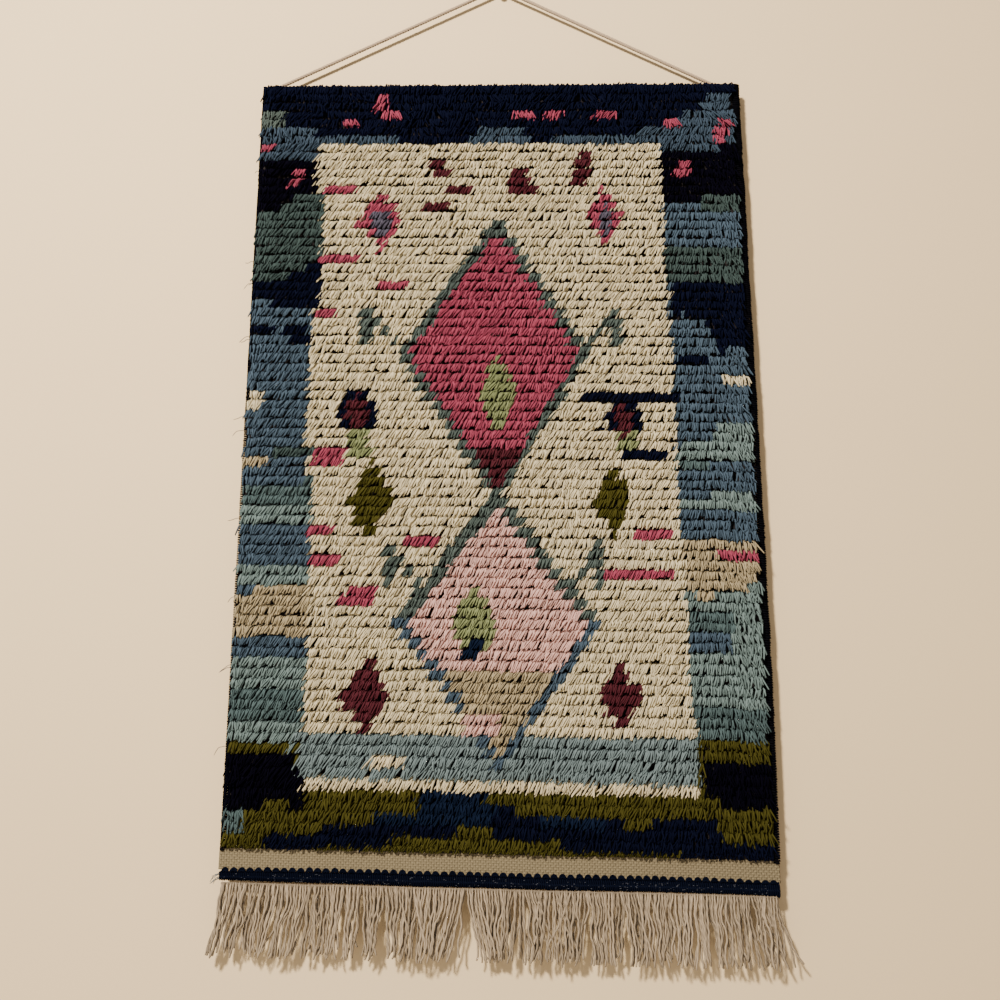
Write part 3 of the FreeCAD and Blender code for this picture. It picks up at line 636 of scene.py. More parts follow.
def painted(name, colour, see_through=False):
    """Matt paint with roller texture. Seen from behind, the wall's paint lets the view through."""
    shader = Shader(name)
    roller = shader.noise(160.0, 3.0)
    clouds = shader.noise(2.2, 2.0)
    mixed = shader.mix(clouds, tinted(colour, 0.97), tinted(colour, 1.03))
    bump = shader.node("Bump", None, {"Height": roller, "Distance": 0.15 * MM, "Strength": 0.5})
    inputs = {"Base Color": mixed, "Roughness": 0.9, "Specular IOR Level": 0.15,
              "Normal": bump.outputs[0]}
    surface = shader.node("BsdfPrincipled", None, inputs).outputs[0]
    if see_through:
        behind = shader.node("NewGeometry").outputs["Backfacing"]
        clear = shader.node("BsdfTransparent").outputs[0]
        surface = shader.node("MixShader", None, {0: behind, 1: surface, 2: clear}).outputs[0]
    shader.node("OutputMaterial", None, {"Surface": surface})
    return shader.material


# ---------------------------------------------------------------- making meshes

def ripple(x, y, seed=0.0):
    """Smooth noise from -1 to 1 at a place in noise space."""
    return noise.noise(Vector((x, y, seed)))


def hang(x, z, slant):
    """Height of a point of the cloth: its top tips up to the right, and its foot tips down."""
    depth = (PILE_TOP - z) / RUG_DEPTH
    uneven = 0.9 * MM * depth * ripple(x * 9, depth * 2, 4.0)
    return z + (TOP_TIP * (1 - depth) - slant * depth) * x / RUG_RIGHT + uneven


def smooth_line(points, steps=12):
    """Points along the smooth NURBS curve that has these control points."""
    curve = bpy.data.curves.new("line", "CURVE")
    curve.dimensions = "3D"
    spline = curve.splines.new("NURBS")
    spline.points.add(len(points) - 1)
    for control, place in zip(spline.points, points):
        control.co = (*place, 1.0)
    spline.order_u = 3
    spline.use_endpoint_u = True
    spline.resolution_u = steps
    holder = bpy.data.objects.new("line", curve)
    mesh = bpy.data.meshes.new_from_object(holder)
    line = [vert.co.copy() for vert in mesh.vertices]
    bpy.data.objects.remove(holder)
    bpy.data.curves.remove(curve)
    bpy.data.meshes.remove(mesh)
    return line


def line_length(line):
    """How long a line of points is."""
    return sum((b - a).length for a, b in zip(line, line[1:]))


def evenly(line, count):
    """The same line with its points evenly spaced."""
    travelled = [0.0]
    for a, b in zip(line, line[1:]):
        travelled.append(travelled[-1] + (b - a).length)
    result = []
    index = 0
    for step in range(count + 1):
        target = travelled[-1] * step / count
        while index < len(line) - 2 and travelled[index + 1] < target:
            index += 1
        gap = max(travelled[index + 1] - travelled[index], 1e-9)
        result.append(line[index].lerp(line[index + 1], min(1.0, (target - travelled[index]) / gap)))
    return result


def frames_along(line):
    """For each point: the point and two directions square to the line that don't spin round it."""
    frames = []
    side = None
    for index, point in enumerate(line):
        ahead = line[min(index + 1, len(line) - 1)] - line[max(index - 1, 0)]
        ahead.normalize()
        if side is None:
            side = ACROSS if abs(ahead.x) < 0.9 else OUT
        side = (side - ahead * side.dot(ahead)).normalized()
        frames.append((point, side, ahead.cross(side)))
    return frames


def twine(line, radius, turns, phase):
    """One ply's line as it winds round a line."""
    result = []
    for index, (point, side, up) in enumerate(frames_along(line)):
        angle = phase + FULL_TURN * turns * index / (len(line) - 1)
        result.append(point + (side * math.cos(angle) + up * math.sin(angle)) * radius)
    return result


def new_bmesh():
    """An empty bmesh with the UV map that the materials read."""
    bm = bmesh.new()
    bm.loops.layers.uv.new("yarn")
    return bm


def add_tube(bm, line, radius, sides=4, ends=1.0):
    """Rolls a grid into a tube along a line and closes both ends."""
    last = len(line) - 1
    made = bmesh.ops.create_grid(bm, x_segments=sides, y_segments=last, size=1, calc_uvs=True)
    frames = frames_along(line)
    for vert in made["verts"]:
        step = round((vert.co.y + 1) / 2 * last)
        angle = math.pi * (vert.co.x + 1)
        point, side, up = frames[step]
        width = 0.0 if step in (0, last) else radius
        if step in (1, last - 1):
            width *= ends
        vert.co = point + (side * math.cos(angle) + up * math.sin(angle)) * width
    bmesh.ops.remove_doubles(bm, verts=made["verts"], dist=WELD)


def add_rope(bm, line, radius, plies, turns, sides=5):
    """Twists several plies round a line into a rope of the given radius."""
    ply_radius = {2: 0.5, 3: 0.464, 4: 0.414}[plies] * radius
    for ply in range(plies):
        add_tube(bm, twine(line, radius - ply_radius, turns, FULL_TURN * ply / plies), ply_radius * 1.15,
                 sides, 0.8)


def mesh_from(bm, name):
    """Turns a bmesh into a smooth mesh whose points have a shade, half-way unless they have one."""
    mesh = bpy.data.meshes.new(name)
    bm.to_mesh(mesh)
    bm.free()
    if mesh.attributes.get("shade") is None:
        mesh.attributes.new("shade", "FLOAT", "POINT")
        mesh.attributes["shade"].data.foreach_set("value", [0.5] * len(mesh.vertices))
    mesh.shade_smooth()
    return mesh


def append(bm, part, shade):
    """Adds a small bmesh to a larger one as a strand with one shade."""
    mesh = mesh_from(part, "part")
    mesh.attributes["shade"].data.foreach_set("value", [shade] * len(mesh.vertices))
    bm.from_mesh(mesh)
    bpy.data.meshes.remove(mesh)


def add_strand(bm, line, radius, sides, shade, plies=1, turns=0.0):
    """Adds one strand, plain or twisted from plies, with a shade of its own."""
    part = new_bmesh()
    if plies > 1:
        add_rope(part, line, radius, plies, turns, sides)
    else:
        add_tube(part, line, radius, sides, 0.8)
    append(bm, part, shade)


def new_piece(name, bm, material, nodes=()):
    """A finished piece of the object at the origin, which stands for some of the frame's nodes."""
    mesh = mesh_from(bm, name)
    if not mesh.polygons:
        raise RuntimeError(name + " came out empty")
    mesh.materials.append(material)
    piece = bpy.data.objects.new(name, mesh)
    bpy.context.scene.collection.objects.link(piece)
    if nodes:
        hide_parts(*nodes)
    return piece


def give_material(node, material):
    """Gives one of the frame's own parts a material."""
    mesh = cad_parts[node].data
    mesh.materials.clear()
    mesh.materials.append(material)


def settings(context, group):
    """One of the scene's groups of sizes or colours."""
    return getattr(context.scene, "hanging_" + group)


# ---------------------------------------------------------------- stage

class HANGING_OT_stage(bpy.types.Operator):
    """Sets up the camera, the wall, the floor and the light"""

    bl_idname = "wall_hanging.stage"
    bl_label = "Camera, Wall and Light"

    def execute(self, context):
        sizes = settings(context, "stage")
        colours = settings(context, "woven")
        self.camera(context, sizes)
        upright = Matrix.Rotation(math.pi / 2, 4, "X")
        wall = self.plane("wall", 9.0, Matrix.Translation((0, 0, 0.6)) @ upright)
        wall.data.materials.append(painted("wall_paint", colours.wall, see_through=True))
        wall.visible_diffuse = False
        wall.visible_shadow = False
        floor = self.plane("floor", 9.0, Matrix.Translation((0, 0, -1.9)))
        floor.data.materials.append(painted("floor_paint", colours.floor))
        self.key_light(context, sizes)
        self.room_light(context, sizes)
        return {"FINISHED"}

    def camera(self, context, sizes):
        """A camera low in front of the hanging that looks up at it."""
        data = bpy.data.cameras.new("camera")
        data.lens = 36.0
        data.sensor_width = 36.0
        camera = bpy.data.objects.new("camera", data)
        camera.location = (0.001, -sizes.camera_distance, -sizes.camera_drop)
        camera.rotation_euler = (math.pi / 2 + sizes.camera_pitch, 0, 0)
        context.scene.collection.objects.link(camera)
        context.scene.camera = camera

    def plane(self, name, size, place):
        """A flat square of the room."""
        bm = bmesh.new()
        bmesh.ops.create_grid(bm, x_segments=1, y_segments=1, size=size / 2, matrix=place)
        mesh = bpy.data.meshes.new(name)
        bm.to_mesh(mesh)
        bm.free()
        plane = bpy.data.objects.new(name, mesh)
        bpy.context.scene.collection.objects.link(plane)
        return plane

    def key_light(self, context, sizes):
        """A lamp up on the left, which throws the shadow to the right."""
        data = bpy.data.lights.new("key", "AREA")
        data.shape = "DISK"
        data.size = 0.28
        data.energy = sizes.key_power
        data.color = (1.0, 0.88, 0.74)
        light = bpy.data.objects.new("key", data)
        light.location = (-0.91, -2.1, 0.5)
        aim = Vector((0, 0, -0.65)) - light.location
        light.rotation_euler = aim.to_track_quat("-Z", "Y").to_euler()
        context.scene.collection.objects.link(light)

    def room_light(self, context, sizes):
        """Soft light from all round."""
        world = bpy.data.worlds.new("room")
        world.use_nodes = True
        background = world.node_tree.nodes["Background"]
        background.inputs["Color"].default_value = (1.0, 0.88, 0.78, 1.0)
        background.inputs["Strength"].default_value = sizes.fill_strength
        context.scene.world = world


# ---------------------------------------------------------------- fixing, rod and cord

class HANGING_OT_cord(bpy.types.Operator):
    """Twists the hanging cord and ties it to the rod's ends"""

    bl_idname = "wall_hanging.cord"
    bl_label = "Cord and Knots"

    def execute(self, context):
        sizes = settings(context, "rug")
        colour = settings(context, "woven").cord
        line = smooth_line(CORD_ROUTE, 40)
        turns = CORD_LENGTH / sizes.ply_pitch
        bm = new_bmesh()
        add_rope(bm, evenly(line, int(turns * 10)), CORD_THICKNESS / 2, 3, turns)
        material = twisted_thread("cord_cotton", colour, 5, turns * 2)
        cord = new_piece("hanging_cord_rope", bm, material, ["hanging_cord"])
        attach(cord, "hanger")
        knots = [self.knot(side, material) for side in (-1, 1)]
        return {"FINISHED"}

    def knot(self, side, material):
        """Two turns round the rod, a hitch round the cord above them and a short tail."""
        wound = ROD_HIGH.z - ROD_AXIS_Z + CORD_DIAMETER / 2
        end = Vector(CORD_ROUTE[-1])

        def on_rod(degrees, x, radius):
            """A place at an angle round the rod, counted from its top towards the room."""
            angle = math.radians(degrees)
            y = ROD_AXIS_Y - radius * math.sin(angle)
            return Vector((x, y, ROD_AXIS_Z + radius * math.cos(angle)))

        def above(x, y, z):
            """A place beside the cord's end, in millimetres from it."""
            return end + Vector((x, y, z)) * MM

        points = [end, above(1.6, -0.4, -2.6), on_rod(45, end.x + 2.4 * MM, wound * 1.25)]
        for degrees in range(80, 680, 30):
            points.append(on_rod(degrees, end.x + (2.6 - 3.9 * (degrees - 80) / 360) * MM, wound))
        points += [on_rod(705, end.x - 4.2 * MM, wound * 1.3),
                   above(-3.4, -1.8, -5.0), above(-0.6, -3.2, -4.4),
                   above(2.4, -1.6, -3.4), above(2.2, 2.6, -2.4), above(-1.2, 3.6, -3.4),
                   above(-4.4, 1.6, -5.2), above(-5.8, 0.4, -5.6), above(-8.0, 1.0, -5.6),
                   above(-10.6, 0.8, -6.6)]
        line = smooth_line([Vector((side * x, y, z)) for x, y, z in points], 6)
        turns = line_length(line) / settings(bpy.context, "rug").ply_pitch
        bm = new_bmesh()
        add_rope(bm, evenly(line, int(turns * 10)), CORD_THICKNESS / 2, 3, turns)
        name = "left" if side < 0 else "right"
        piece = new_piece("tied_knot_" + name, bm, material, ["cord_knot_" + name])
        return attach(piece, "hanger")


class HANGING_OT_fixing(bpy.types.Operator):
    """Finishes the wall screw and its plug"""

    bl_idname = "wall_hanging.fixing"
    bl_label = "Screw and Plug"

    def execute(self, context):
        colours = settings(context, "woven")
        give_material("wall_screw", plated_steel("screw_steel", colours.steel))
        give_material("wall_plug", moulded_nylon("plug_plastic", colours.plug))
        return {"FINISHED"}


class HANGING_OT_rod(bpy.types.Operator):
    """Finishes the rod and sews its webbing sleeve to the back of the rug"""

    bl_idname = "wall_hanging.rod"
    bl_label = "Rod and Sleeve"

    def execute(self, context):
        colours = settings(context, "woven")
        give_material("hanging_rod", dowel_wood("rod_wood", colours.wood))
        self.sleeve(settings(context, "rug"), colours.webbing)
        self.stitches(colours.thread)
        return {"FINISHED"}

    def profile(self, thickness):
        """The webbing's line, from its upper edge round the rod's back to its lower edge."""
        flat = SLEEVE_LOW.y + thickness / 2
        back = SLEEVE_HIGH.y - thickness / 2
        bulge = (back - ROD_AXIS_Y) * 1.02
        above = ROD_AXIS_Z + bulge
        below = ROD_AXIS_Z - bulge
        front = ROD_AXIS_Y - 2 * MM
        corner = 0.6 * MM
        return smooth_line([
            (0, flat, SLEEVE_HIGH.z), (0, flat, above), (0, front, above),
            (0, back, above + corner), (0, back, ROD_AXIS_Z), (0, back, below - corner),
            (0, front, below), (0, flat, below), (0, flat, SLEEVE_LOW.z),
        ], 10)

    def sleeve(self, sizes, colour):
        """A strip of webbing, seamed flat above and below the rod."""
        line = evenly(self.profile(sizes.sleeve_thickness), 40)
        girth = line_length(line)
        width = SLEEVE_HIGH.x - SLEEVE_LOW.x
        bm = new_bmesh()
        made = bmesh.ops.create_grid(bm, x_segments=220, y_segments=40, size=1, calc_uvs=True)
        for vert in made["verts"]:
            point = line[round((vert.co.y + 1) * 20)]
            x = vert.co.x * width / 2
            crease = 0.35 * MM * ripple(x * 60, point.z * 150, 8.0)
            free = min(1.0, max(0.0, (point.y - SLEEVE_LOW.y) / (4 * MM)))
            vert.co = Vector((x, point.y + crease * free, point.z + crease * free))
        bmesh.ops.reverse_faces(bm, faces=bm.faces[:])
        material = woven_cloth("sleeve_webbing", colour, width / WEBBING_THREAD, girth / WEBBING_THREAD)
        piece = new_piece("webbing_sleeve", bm, material, ["rod_sleeve"])
        wall = piece.modifiers.new("thickness", "SOLIDIFY")
        wall.thickness = sizes.sleeve_thickness
        wall.offset = 0.0
        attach(piece, "rug")

    def stitches(self, colour):
        """Two rows of long stitches through the webbing's edges."""
        rng = random.Random(11)
        pitch = 15 * MM
        half = 4.3 * MM
        rows = (STITCH_HIGH.z - 0.4 * MM, STITCH_LOW.z + 0.4 * MM)
        count = round((STITCH_HIGH.x - STITCH_LOW.x) / pitch) + 1
        surface = STITCH_LOW.y
        bm = new_bmesh()
        for z in rows:
            for index in range(count):
                x = (index - (count - 1) / 2) * pitch
                tilt = rng.uniform(-0.5, 0.5) * MM
                ends = [(-1.08, -0.5), (-0.96, 0.2), (-0.6, 0.5), (0, 0.6), (0.6, 0.5), (0.96, 0.2),
                        (1.08, -0.5)]
                line = [Vector((x + along * half, surface + lift * MM, z + tilt * along))
                        for along, lift in ends]
                add_strand(bm, line, 0.42 * MM, 5, rng.random())
        material = twisted_thread("stitch_thread", colour, 2, 6)
        piece = new_piece("sewn_stitches", bm, material, ["sleeve_stitches"])
        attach(piece, "rug")


# ---------------------------------------------------------------- cloth

BAND_THREADS = 216
GROUND_THREAD_WIDTH = 2.2 * MM
GROUND_THREAD_HEIGHT = 1.5 * MM
WEBBING_THREAD = 1.6 * MM


class HANGING_OT_weave(bpy.types.Operator):
    """Weaves the dark ground and the beige end band"""

    bl_idname = "wall_hanging.weave"
    bl_label = "Ground Weave and End Band"

    def execute(self, context):
        sizes = settings(context, "rug")
        colours = settings(context, "woven")
        self.ground(sizes, colours.weave)
        self.band(sizes, colours.band)
        return {"FINISHED"}

    def ground(self, sizes, colour):
        """The dark cloth, with a low ridge for each row of knots."""
        width = WEAVE_HIGH.x - WEAVE_LOW.x
        height = WEAVE_HIGH.z - BAND_SEAM
        bm = new_bmesh()
        made = bmesh.ops.create_grid(bm, x_segments=120, y_segments=PILE_ROWS * 3, size=1, calc_uvs=True)
        for vert in made["verts"]:
            x = vert.co.x * width / 2
            row = (1 - vert.co.y) / 2 * PILE_ROWS
            z = WEAVE_HIGH.z - row / PILE_ROWS * height
            ridge = 0.25 * MM * math.cos(FULL_TURN * row) + 0.3 * MM * ripple(x * 40, row, 2.0)
            vert.co = Vector((x, WEAVE_MIDDLE + ridge, hang(x, z, sizes.hang_slant)))
        material = woven_cloth("weave_dark", colour, width / GROUND_THREAD_WIDTH,
                               height / GROUND_THREAD_HEIGHT)
        piece = new_piece("ground_cloth", bm, material, ["ground_weave"])
        wall = piece.modifiers.new("thickness", "SOLIDIFY")
        wall.thickness = 1.8 * MM
        wall.offset = 0.0
        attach(piece, "rug")

    def band(self, sizes, colour):
        """The beige cloth below the pile, ribbed by its thick weft."""
        width = BAND_HIGH.x - BAND_LOW.x
        height = BAND_SEAM - BAND_LOW.z
        ribs = round(height / sizes.band_rib)
        bm = new_bmesh()
        made = bmesh.ops.create_grid(bm, x_segments=540, y_segments=ribs * 4, size=1, calc_uvs=True)
        for vert in made["verts"]:
            x = vert.co.x * width / 2
            rib = (1 - vert.co.y) / 2 * ribs
            z = BAND_SEAM - rib / ribs * height
            thread = (vert.co.x + 1) * BAND_THREADS / 2
            over = math.sin(math.pi * rib) * math.cos(math.pi * thread)
            bow = 0.8 * MM * ripple(x * 14, rib * 0.1, 6.0)
            vert.co = Vector((x, WEAVE_MIDDLE + 0.6 * MM * over + bow, hang(x, z, sizes.hang_slant)))
        material = woven_cloth("band_linen", colour, BAND_THREADS, ribs, 0.3, 0.6 * MM)
        piece = new_piece("woven_band", bm, material, ["end_band"])
        wall = piece.modifiers.new("thickness", "SOLIDIFY")
        wall.thickness = 1.6 * MM
        wall.offset = 0.0
        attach(piece, "rug")


class HANGING_OT_selvedges(bpy.types.Operator):
    """Overcasts both side edges of the cloth with black wool"""

    bl_idname = "wall_hanging.selvedges"
    bl_label = "Selvedges"

    def execute(self, context):
        sizes = settings(context, "rug")
        material = wool("selvedge_black", settings(context, "woven").selvedge, 2, 1500)
        self.overcast(sizes, material, "left", RUG_LEFT + 3.2 * MM, 2.2 * MM, 0.4 * MM)
        self.overcast(sizes, material, "right", RUG_RIGHT - 0.7 * MM, 4.7 * MM, 1.0 * MM)
        return {"FINISHED"}

    def overcast(self, sizes, material, name, edge, half_width, waviness):
        """Yarn wound round the cloth's edge from top to bottom. The right one narrows at its foot."""
        bottom = BAND_SEAM - 3 * MM
        turns = round((PILE_TOP - bottom) / sizes.overcast_pitch)
        steps_per_turn = 8
        steps = turns * steps_per_turn
        line = []
        for step in range(steps + 1):
            z = PILE_TOP + (bottom - PILE_TOP) * step / steps
            wave = waviness * (ripple(z * 26, 0.3, 12.0) + 0.6 * ripple(z * 75, 0.7, 13.0))
            loose = 1 + 0.22 * ripple(step * 0.13, 0, 14.0)
            angle = FULL_TURN * step / steps_per_turn
            foot = max(0.0, ((PILE_TOP - z) / (PILE_TOP - bottom) - 0.8) / 0.2)
            narrowed = (2.0 * MM - half_width) * foot if name == "right" else 0.0
            reach = (half_width + narrowed * 0.7) * loose
            x = edge + wave * (1 - foot) + narrowed * 0.6 + reach * math.cos(angle)
            y = WEAVE_MIDDLE + 2.6 * MM * loose * math.sin(angle)
            line.append(Vector((x, y, hang(x, z, sizes.hang_slant))))
        bm = new_bmesh()
        add_tube(bm, line, sizes.overcast_radius, 4)
        piece = new_piece("overcast_" + name, bm, material, ["selvedge_" + name])
        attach(piece, "rug")


# ---------------------------------------------------------------- pile

def inside(column, row, outline):
    """Whether a knot lies in an outline, by counting the edges to its right."""
    hit = False
    for (x1, y1), (x2, y2) in zip(outline, outline[1:] + outline[:1]):
        if (y1 > row) != (y2 > row) and column < x1 + (x2 - x1) * (row - y1) / (y2 - y1):
            hit = not hit
    return hit


class KnotStyle:
    """How the strands of one kind of knot hang: stand-off, drop, sideways wander, curl and rise."""

    RINGS = ((0, 0), (0.13, 0.95), (0.52, 1.1), (0.94, 0.95), (1, 0))

    def __init__(self, stand_off, drop, wander, curl, rise=0.0):
        self.stand_off = stand_off
        self.drop = drop
        self.wander = wander
        self.curl = curl
        self.rise = rise

    def strand(self, rng, place, radius):
        """Rings of one strand: centre and radius. It leaves the weave, bends over and hangs."""
        out = self.stand_off * rng.uniform(0.72, 1.12)
        drop = self.drop * rng.uniform(0.74, 1.1)
        side = self.wander * rng.uniform(-1, 1)
        rise = self.rise * rng.uniform(0.5, 1.3)
        start = Vector((place, 1.2 * MM, rng.uniform(-1, 1) * MM))
        bends = [
            start,
            start + Vector((side * 0.1, -out * 0.75, rise + 1.6 * MM)),
            start + Vector((side * 0.7, -out * 1.3, rise - drop * 0.35)),
            start + Vector((side, -out * rng.uniform(0.78, 1.06), rise - drop)),
        ]
        phase = rng.uniform(0, FULL_TURN)
        rings = []
        for t, width in self.RINGS:
            s = 1 - t
            point = (bends[0] * s ** 3 + bends[1] * 3 * s * s * t + bends[2] * 3 * s * t * t
                     + bends[3] * t ** 3)
            angle = phase + 7.0 * t
            bent = Vector((math.cos(angle), 0.6 * math.sin(angle), 0.5 * math.sin(angle)))
            rings.append((point + bent * self.curl * t, radius * width))
        return rings


def add_rings(bm, rings, sides):
    """Rolls a grid into a tube through rings of given centre and radius."""
    last = len(rings) - 1
    made = bmesh.ops.create_grid(bm, x_segments=sides, y_segments=last, size=1, calc_uvs=True)
    frames = frames_along([point for point, _ in rings])
    for vert in made["verts"]:
        step = round((vert.co.y + 1) / 2 * last)
        angle = math.pi * (vert.co.x + 1)
        point, side, up = frames[step]
        vert.co = point + (side * math.cos(angle) + up * math.sin(angle)) * rings[step][1]
    bmesh.ops.remove_doubles(bm, verts=made["verts"], dist=WELD)


def bundle_template(style, sizes, seed):
    """One bundle of a knot at the origin: cut strands in front and a bar on the cloth's back."""
    rng = random.Random(seed)
    bm = new_bmesh()
    spacing = 1.0 * MM
    for index in range(sizes.strands):
        place = (index - (sizes.strands - 1) / 2) * spacing + rng.uniform(-0.6, 0.6) * MM
        part = new_bmesh()
        add_rings(part, style.strand(rng, place, sizes.yarn_radius * rng.uniform(0.88, 1.1)), 4)
        append(bm, part, rng.random())
    back = WEAVE_HIGH.y - WEAVE_FRONT - 0.2 * MM
    bar = new_bmesh()
    rings = [(Vector((-2.3 * MM, back - 0.8 * MM, 0)), 0), (Vector((-1.7 * MM, back, 0.2 * MM)), 1.0 * MM),
             (Vector((1.7 * MM, back, -0.2 * MM)), 1.0 * MM), (Vector((2.3 * MM, back - 0.8 * MM, 0)), 0)]
    add_rings(bar, rings, 4)
    append(bm, bar, rng.random())
    return mesh_from(bm, "bundle")


class HANGING_OT_pile(bpy.types.Operator):
    """Ties the wool knots of every part of the pattern"""

    bl_idname = "wall_hanging.pile"
    bl_label = "Wool Pile"

    TEMPLATES = 16

    def execute(self, context):
        sizes = settings(context, "pile")
        yarns = settings(context, "yarns")
        self.sizes = sizes
        self.slant = settings(context, "rug").hang_slant
        self.styles = self.make_styles(sizes)
        self.make_templates(sizes)
        materials = {}
        for (node, yarn, part), knots in self.plan().items():
            if yarn not in materials:
                materials[yarn] = wool("wool_" + yarn, getattr(yarns, yarn))
            name = node.replace("_pile", "") + "_" + yarn + part
            self.tie(name, node, yarn, knots, materials[yarn])
        for meshes in self.templates.values():
            for mesh in meshes:
                bpy.data.meshes.remove(mesh)
        return {"FINISHED"}

    def make_styles(self, sizes):
        """The ways that the wool hangs in different parts of the rug."""
        return {
            "hanging": KnotStyle(sizes.stand_off, sizes.drop, 2.4 * MM, 1.4 * MM),
            "shaggy": KnotStyle(sizes.stand_off, sizes.drop * 1.2, 4.5 * MM, 2.4 * MM),
            "upright": KnotStyle(sizes.stand_off * 0.9, sizes.drop * 1.1, 3.5 * MM, 1.5 * MM, 1.0 * MM),
            "long": KnotStyle(sizes.stand_off, sizes.long_drop, 4.0 * MM, 2.2 * MM),
        }

    def make_templates(self, sizes):
        """Makes the bundles that are repeated, and keeps the shape and shades that each starts with."""
        self.templates = {}
        self.rest = {}
        for kind, (name, style) in enumerate(self.styles.items()):
            self.templates[name] = [bundle_template(style, sizes, 100 * kind + n)
                                    for n in range(self.TEMPLATES)]
        for name, meshes in self.templates.items():
            for number, mesh in enumerate(meshes):
                places = [0.0] * (3 * len(mesh.vertices))
                shades = [0.0] * len(mesh.vertices)
                mesh.vertices.foreach_get("co", places)
                mesh.attributes["shade"].data.foreach_get("value", shades)
                self.rest[name, number] = (places, shades)

    def plan(self):
        """Every bundle's column and row, sorted by node, yarn and piece."""
        rng = random.Random(5)
        per_row = PILE_COLUMNS * self.sizes.bundles_per_knot
        boxes = []
        for node, yarn, outline in PATTERN:
            columns = [point[0] for point in outline]
            rows = [point[1] for point in outline]
            boxes.append((min(columns), max(columns), min(rows), max(rows), node, yarn, outline))
        sorted_knots = {}
        for row in range(-1, PILE_ROWS):
            for index in range(per_row):
                column = (index + 0.5) * PILE_COLUMNS / per_row
                tried = self.seen_column(column, row) + rng.uniform(-0.15, 0.15)
                middle = max(0, row) + 0.5
                for left, right, top, bottom, node, yarn, outline in boxes:
                    if left <= tried <= right and top <= middle <= bottom and inside(tried, middle, outline):
                        break
                part = "_" + str(1 + max(0, row) // FIELD_PIECE_ROWS) if node == "field_pile" else ""
                sorted_knots.setdefault((node, yarn, part), []).append((column, row))
        return sorted_knots

    def seen_column(self, column, row):
        """Where the middle of a knot's strands shows, which decides its yarn."""
        share = column / PILE_COLUMNS
        x = PILE_LEFT + share * (PILE_RIGHT - PILE_LEFT)
        z = PILE_TOP - row * self.sizes.row_pitch
        slip = self.lean_at(x, z, 10) * self.sizes.drop * 0.5
        seen = column - slip / (PILE_RIGHT - PILE_LEFT) * PILE_COLUMNS
        middle = PILE_COLUMNS / 2
        return min(PILE_COLUMNS - 0.3, max(0.3, middle + (seen - middle) * PATTERN_SPREAD))

    def style_of(self, column, row):
        """How the wool hangs at a place in the pattern."""
        if row < 0:
            return "upright"
        if row >= LONG_FROM_ROW:
            return "long"
        if row < FLUFFY_TOP_ROWS or column > SHAGGY_FROM_COLUMN or row >= SHAGGY_FROM_ROW:
            return "shaggy"
        return "hanging"

    def lean_at(self, x, z, row):
        """Strands slant to the left, but splay to the right at the right edge."""
        share = (x - PILE_LEFT) / (PILE_RIGHT - PILE_LEFT)
        lean = self.sizes.lean + 0.22 * ripple(x * 11, z * 9, 21.0)
        edge = min(1.0, max(0.0, (share - 0.84) / 0.12))
        lean = lean * (1 - edge) - 0.14 * edge
        if row < FLUFFY_TOP_ROWS:
            lean = lean * 0.4 + 1.1 * ripple(x * 30, z * 45, 22.0)
        if row >= LONG_FROM_ROW:
            lean = lean * 0.6 + 0.3 * ripple(x * 40, row * 0.3, 23.0)
        return lean * min(1.0, 0.1 + max(0.0, share) / 0.04)

    def matrix_of(self, rng, column, row):
        """Where a bundle goes, how far its strands lean and how long they are."""
        sizes = self.sizes
        share = column / PILE_COLUMNS
        x = PILE_LEFT + share * (PILE_RIGHT - PILE_LEFT) + rng.uniform(-0.7, 0.7) * MM
        pitch = sizes.row_pitch + sizes.right_stretch * share
        z = PILE_TOP - sizes.first_row_drop + sizes.right_rise * share - row * pitch
        if row < 0:
            z = PILE_TOP - 3.5 * MM + TOP_TIP * (2 * share - 1)
        z += 1.6 * MM * ripple(x * 22, row * 0.8, 31.0) + rng.uniform(-0.7, 0.7) * MM
        thin = ripple(x * 34, row * 5.3, 33.0) * (1.2 - share)
        length_scale = 1 - 0.25 * thin + 0.12 * ripple(x * 60, row * 2.1, 35.0)
        floor = hang(x, PILE_BOTTOM + 4 * MM, self.slant)
        length_scale = min(length_scale, (z - floor) / self.styles[self.style_of(column, row)].drop)
        depth_scale = 1 + 0.14 * ripple(x * 25, row * 1.7, 37.0)
        if row >= PILE_ROWS - FLATTENED_LAST_ROWS:
            depth_scale *= 0.3 + 0.2 * (PILE_ROWS - row)
        lean = self.lean_at(x, z, row) + rng.uniform(-0.2, 0.2)
        shear = Matrix(((1, 0, lean, 0), (0, 1, 0, 0), (0, 0, 1, 0), (0, 0, 0, 1)))
        size = Matrix.Diagonal((1, depth_scale, length_scale, 1))
        return Matrix.Translation((x, WEAVE_FRONT, z)) @ shear @ size

    def tie(self, name, node, yarn, knots, material):
        """Makes one piece of pile: a template's bundle is bent to each place and joined on."""
        rng = random.Random(name)
        bm = new_bmesh()
        for column, row in knots:
            style = self.style_of(column, row)
            number = rng.randrange(self.TEMPLATES)
            mesh = self.templates[style][number]
            places, shades = self.rest[style, number]
            tone = 0.10 * ripple(column * 0.5, row * 3.0, 41.0) + rng.uniform(-0.06, 0.06)
            mesh.attributes["shade"].data.foreach_set("value", [shade + tone for shade in shades])
            mesh.transform(self.matrix_of(rng, column, row))
            bm.from_mesh(mesh, face_normals=False, vertex_normals=False)
            mesh.vertices.foreach_set("co", places)
        piece = new_piece(name, bm, material, [node])
        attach(piece, "rug")


# ---------------------------------------------------------------- edging and fringe

